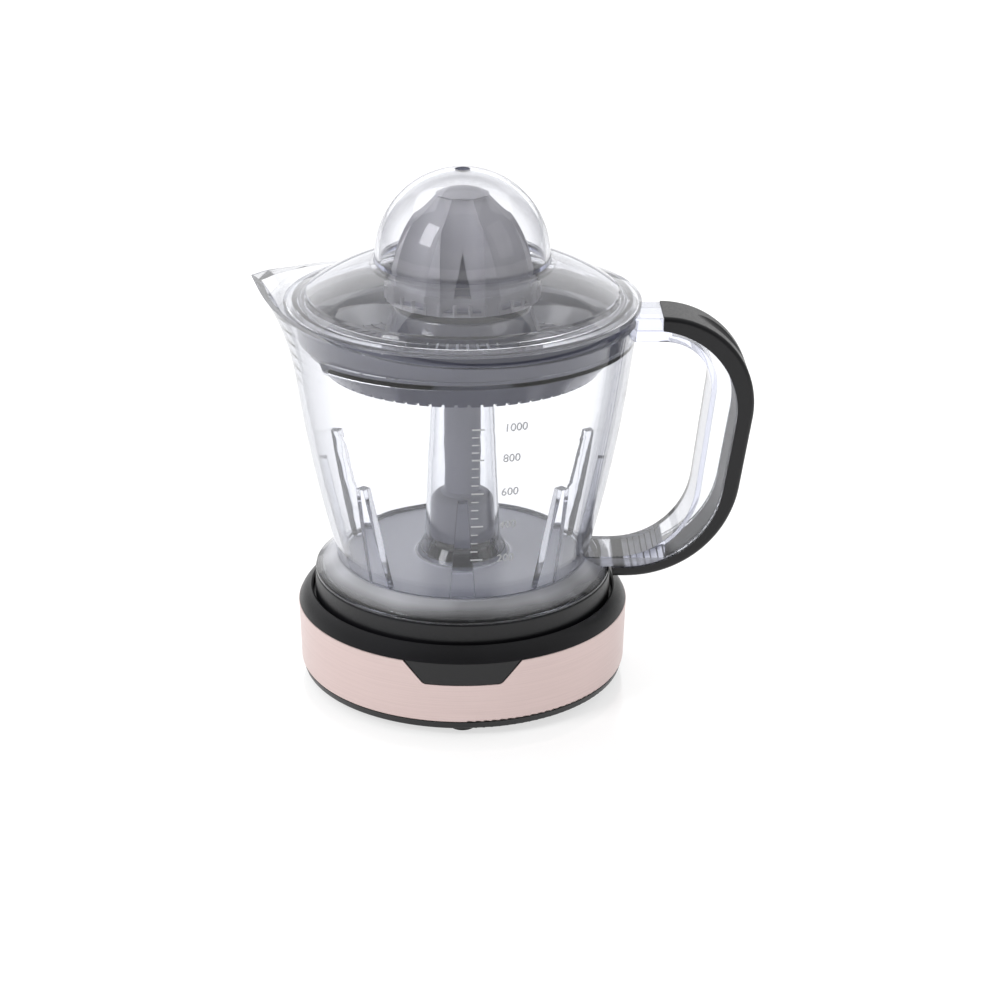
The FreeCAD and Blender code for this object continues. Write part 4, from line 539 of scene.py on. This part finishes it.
# Floor, light and camera
def floor_material():
    """Pale sheet, glossy near the object, that looks white to the camera and keeps the shadow."""
    material, tree, shader = new_material("white_floor")
    drift = noise(tree, FLOOR_DRIFT_SCALE, FLOOR_DRIFT_DETAIL)
    tree.links.new(colour_ramp(tree, drift, FLOOR_TONES), shader.inputs["Base Color"])
    tree.links.new(fade(tree, drift, *LEVEL_SPAN, *FLOOR_ROUGH), shader.inputs["Roughness"])
    coordinates = tree.nodes.new("ShaderNodeTexCoord")
    distance = length(tree, coordinates.outputs["Object"])
    gloss = fade(tree, distance, FLOOR_NEAR, FLOOR_FAR, *FLOOR_GLOSS)
    tree.links.new(gloss, shader.inputs["Specular IOR Level"])
    rays = tree.nodes.new("ShaderNodeLightPath")
    through = greater(tree, rays.outputs["Is Glossy Ray"], rays.outputs["Is Transmission Ray"])
    seen = greater(tree, rays.outputs["Is Camera Ray"], through)
    lift = fade(tree, distance, FLOOR_NEAR, FLOOR_FAR, *FLOOR_LIFT)
    shader.inputs["Emission Color"].default_value = (1, 1, 1, 1)
    tree.links.new(product(tree, seen, lift), shader.inputs["Emission Strength"])
    return material


def make_floor():
    """Square floor under the object."""
    half = FLOOR_SIZE / 2
    corners = [(-half, -half, 0), (half, -half, 0), (half, half, 0), (-half, half, 0)]
    mesh = bpy.data.meshes.new("floor")
    mesh.from_pydata(corners, [], [(0, 1, 2, 3)])
    mesh.materials.append(floor_material())
    floor = bpy.data.objects.new("floor", mesh)
    scene.collection.objects.link(floor)


def make_world():
    """White to the camera, and low down also through clear pieces; else a studio with a dim front."""
    world = bpy.data.worlds.new("studio")
    scene.world = world
    world.use_nodes = True
    tree = world.node_tree
    tree.nodes.clear()
    output = tree.nodes.new("ShaderNodeOutputWorld")
    studio = tree.nodes.new("ShaderNodeBackground")
    white = tree.nodes.new("ShaderNodeBackground")
    white.inputs["Color"].default_value = (1, 1, 1, 1)
    white.inputs["Strength"].default_value = 1.0
    coordinates = tree.nodes.new("ShaderNodeTexCoord")
    split = tree.nodes.new("ShaderNodeSeparateXYZ")
    tree.links.new(coordinates.outputs["Generated"], split.inputs["Vector"])
    strength = fade(tree, split.outputs["Y"], *STUDIO_SPAN, *STUDIO_LEVEL)
    tree.links.new(strength, studio.inputs["Strength"])
    rays = tree.nodes.new("ShaderNodeLightPath")
    low = fade(tree, split.outputs["Z"], *WHITE_SPAN, 1.0, 0.0)
    through = product(tree, rays.outputs["Is Transmission Ray"], low)
    seen = greater(tree, rays.outputs["Is Camera Ray"], through)
    mix = tree.nodes.new("ShaderNodeMixShader")
    tree.links.new(seen, mix.inputs["Fac"])
    tree.links.new(studio.outputs["Background"], mix.inputs[1])
    tree.links.new(white.outputs["Background"], mix.inputs[2])
    tree.links.new(mix.outputs["Shader"], output.inputs["Surface"])


def aim_angles(direction):
    """Euler angles that point a lamp's -Z along a direction."""
    flat = math.hypot(direction[0], direction[1])
    pitch = math.atan2(flat, -direction[2])
    yaw = math.atan2(direction[1], direction[0]) - math.pi / 2
    return (pitch, 0, yaw)


def area_light(name, place, size, power, mirrored):
    """Softbox aimed at the middle of the object."""
    data = bpy.data.lights.new(name, "AREA")
    data.shape = "RECTANGLE"
    data.size, data.size_y = size
    data.energy = power
    light = bpy.data.objects.new(name, data)
    scene.collection.objects.link(light)
    light.location = place
    light.rotation_euler = aim_angles([LIGHT_AIM[axis] - place[axis] for axis in range(3)])
    light.visible_camera = False
    light.visible_glossy = mirrored


def make_camera():
    """Camera in front of the drive axis, looking down at the object."""
    data = bpy.data.cameras.new("camera")
    data.lens = CAMERA_LENS
    data.sensor_width = CAMERA_SENSOR
    data.shift_x = CAMERA_SHIFT
    camera = bpy.data.objects.new("camera", data)
    scene.collection.objects.link(camera)
    camera.location = (AXIS_X, -CAMERA_BACK, CAMERA_UP)
    camera.rotation_euler = (math.pi / 2 - CAMERA_PITCH, 0, 0)
    scene.camera = camera


paint_nodes()
make_spring()
make_marks()
make_floor()
make_world()
for light_name, values in LIGHTS.items():
    area_light(light_name, **values)
make_camera()
scene.view_settings.view_transform = "Standard"
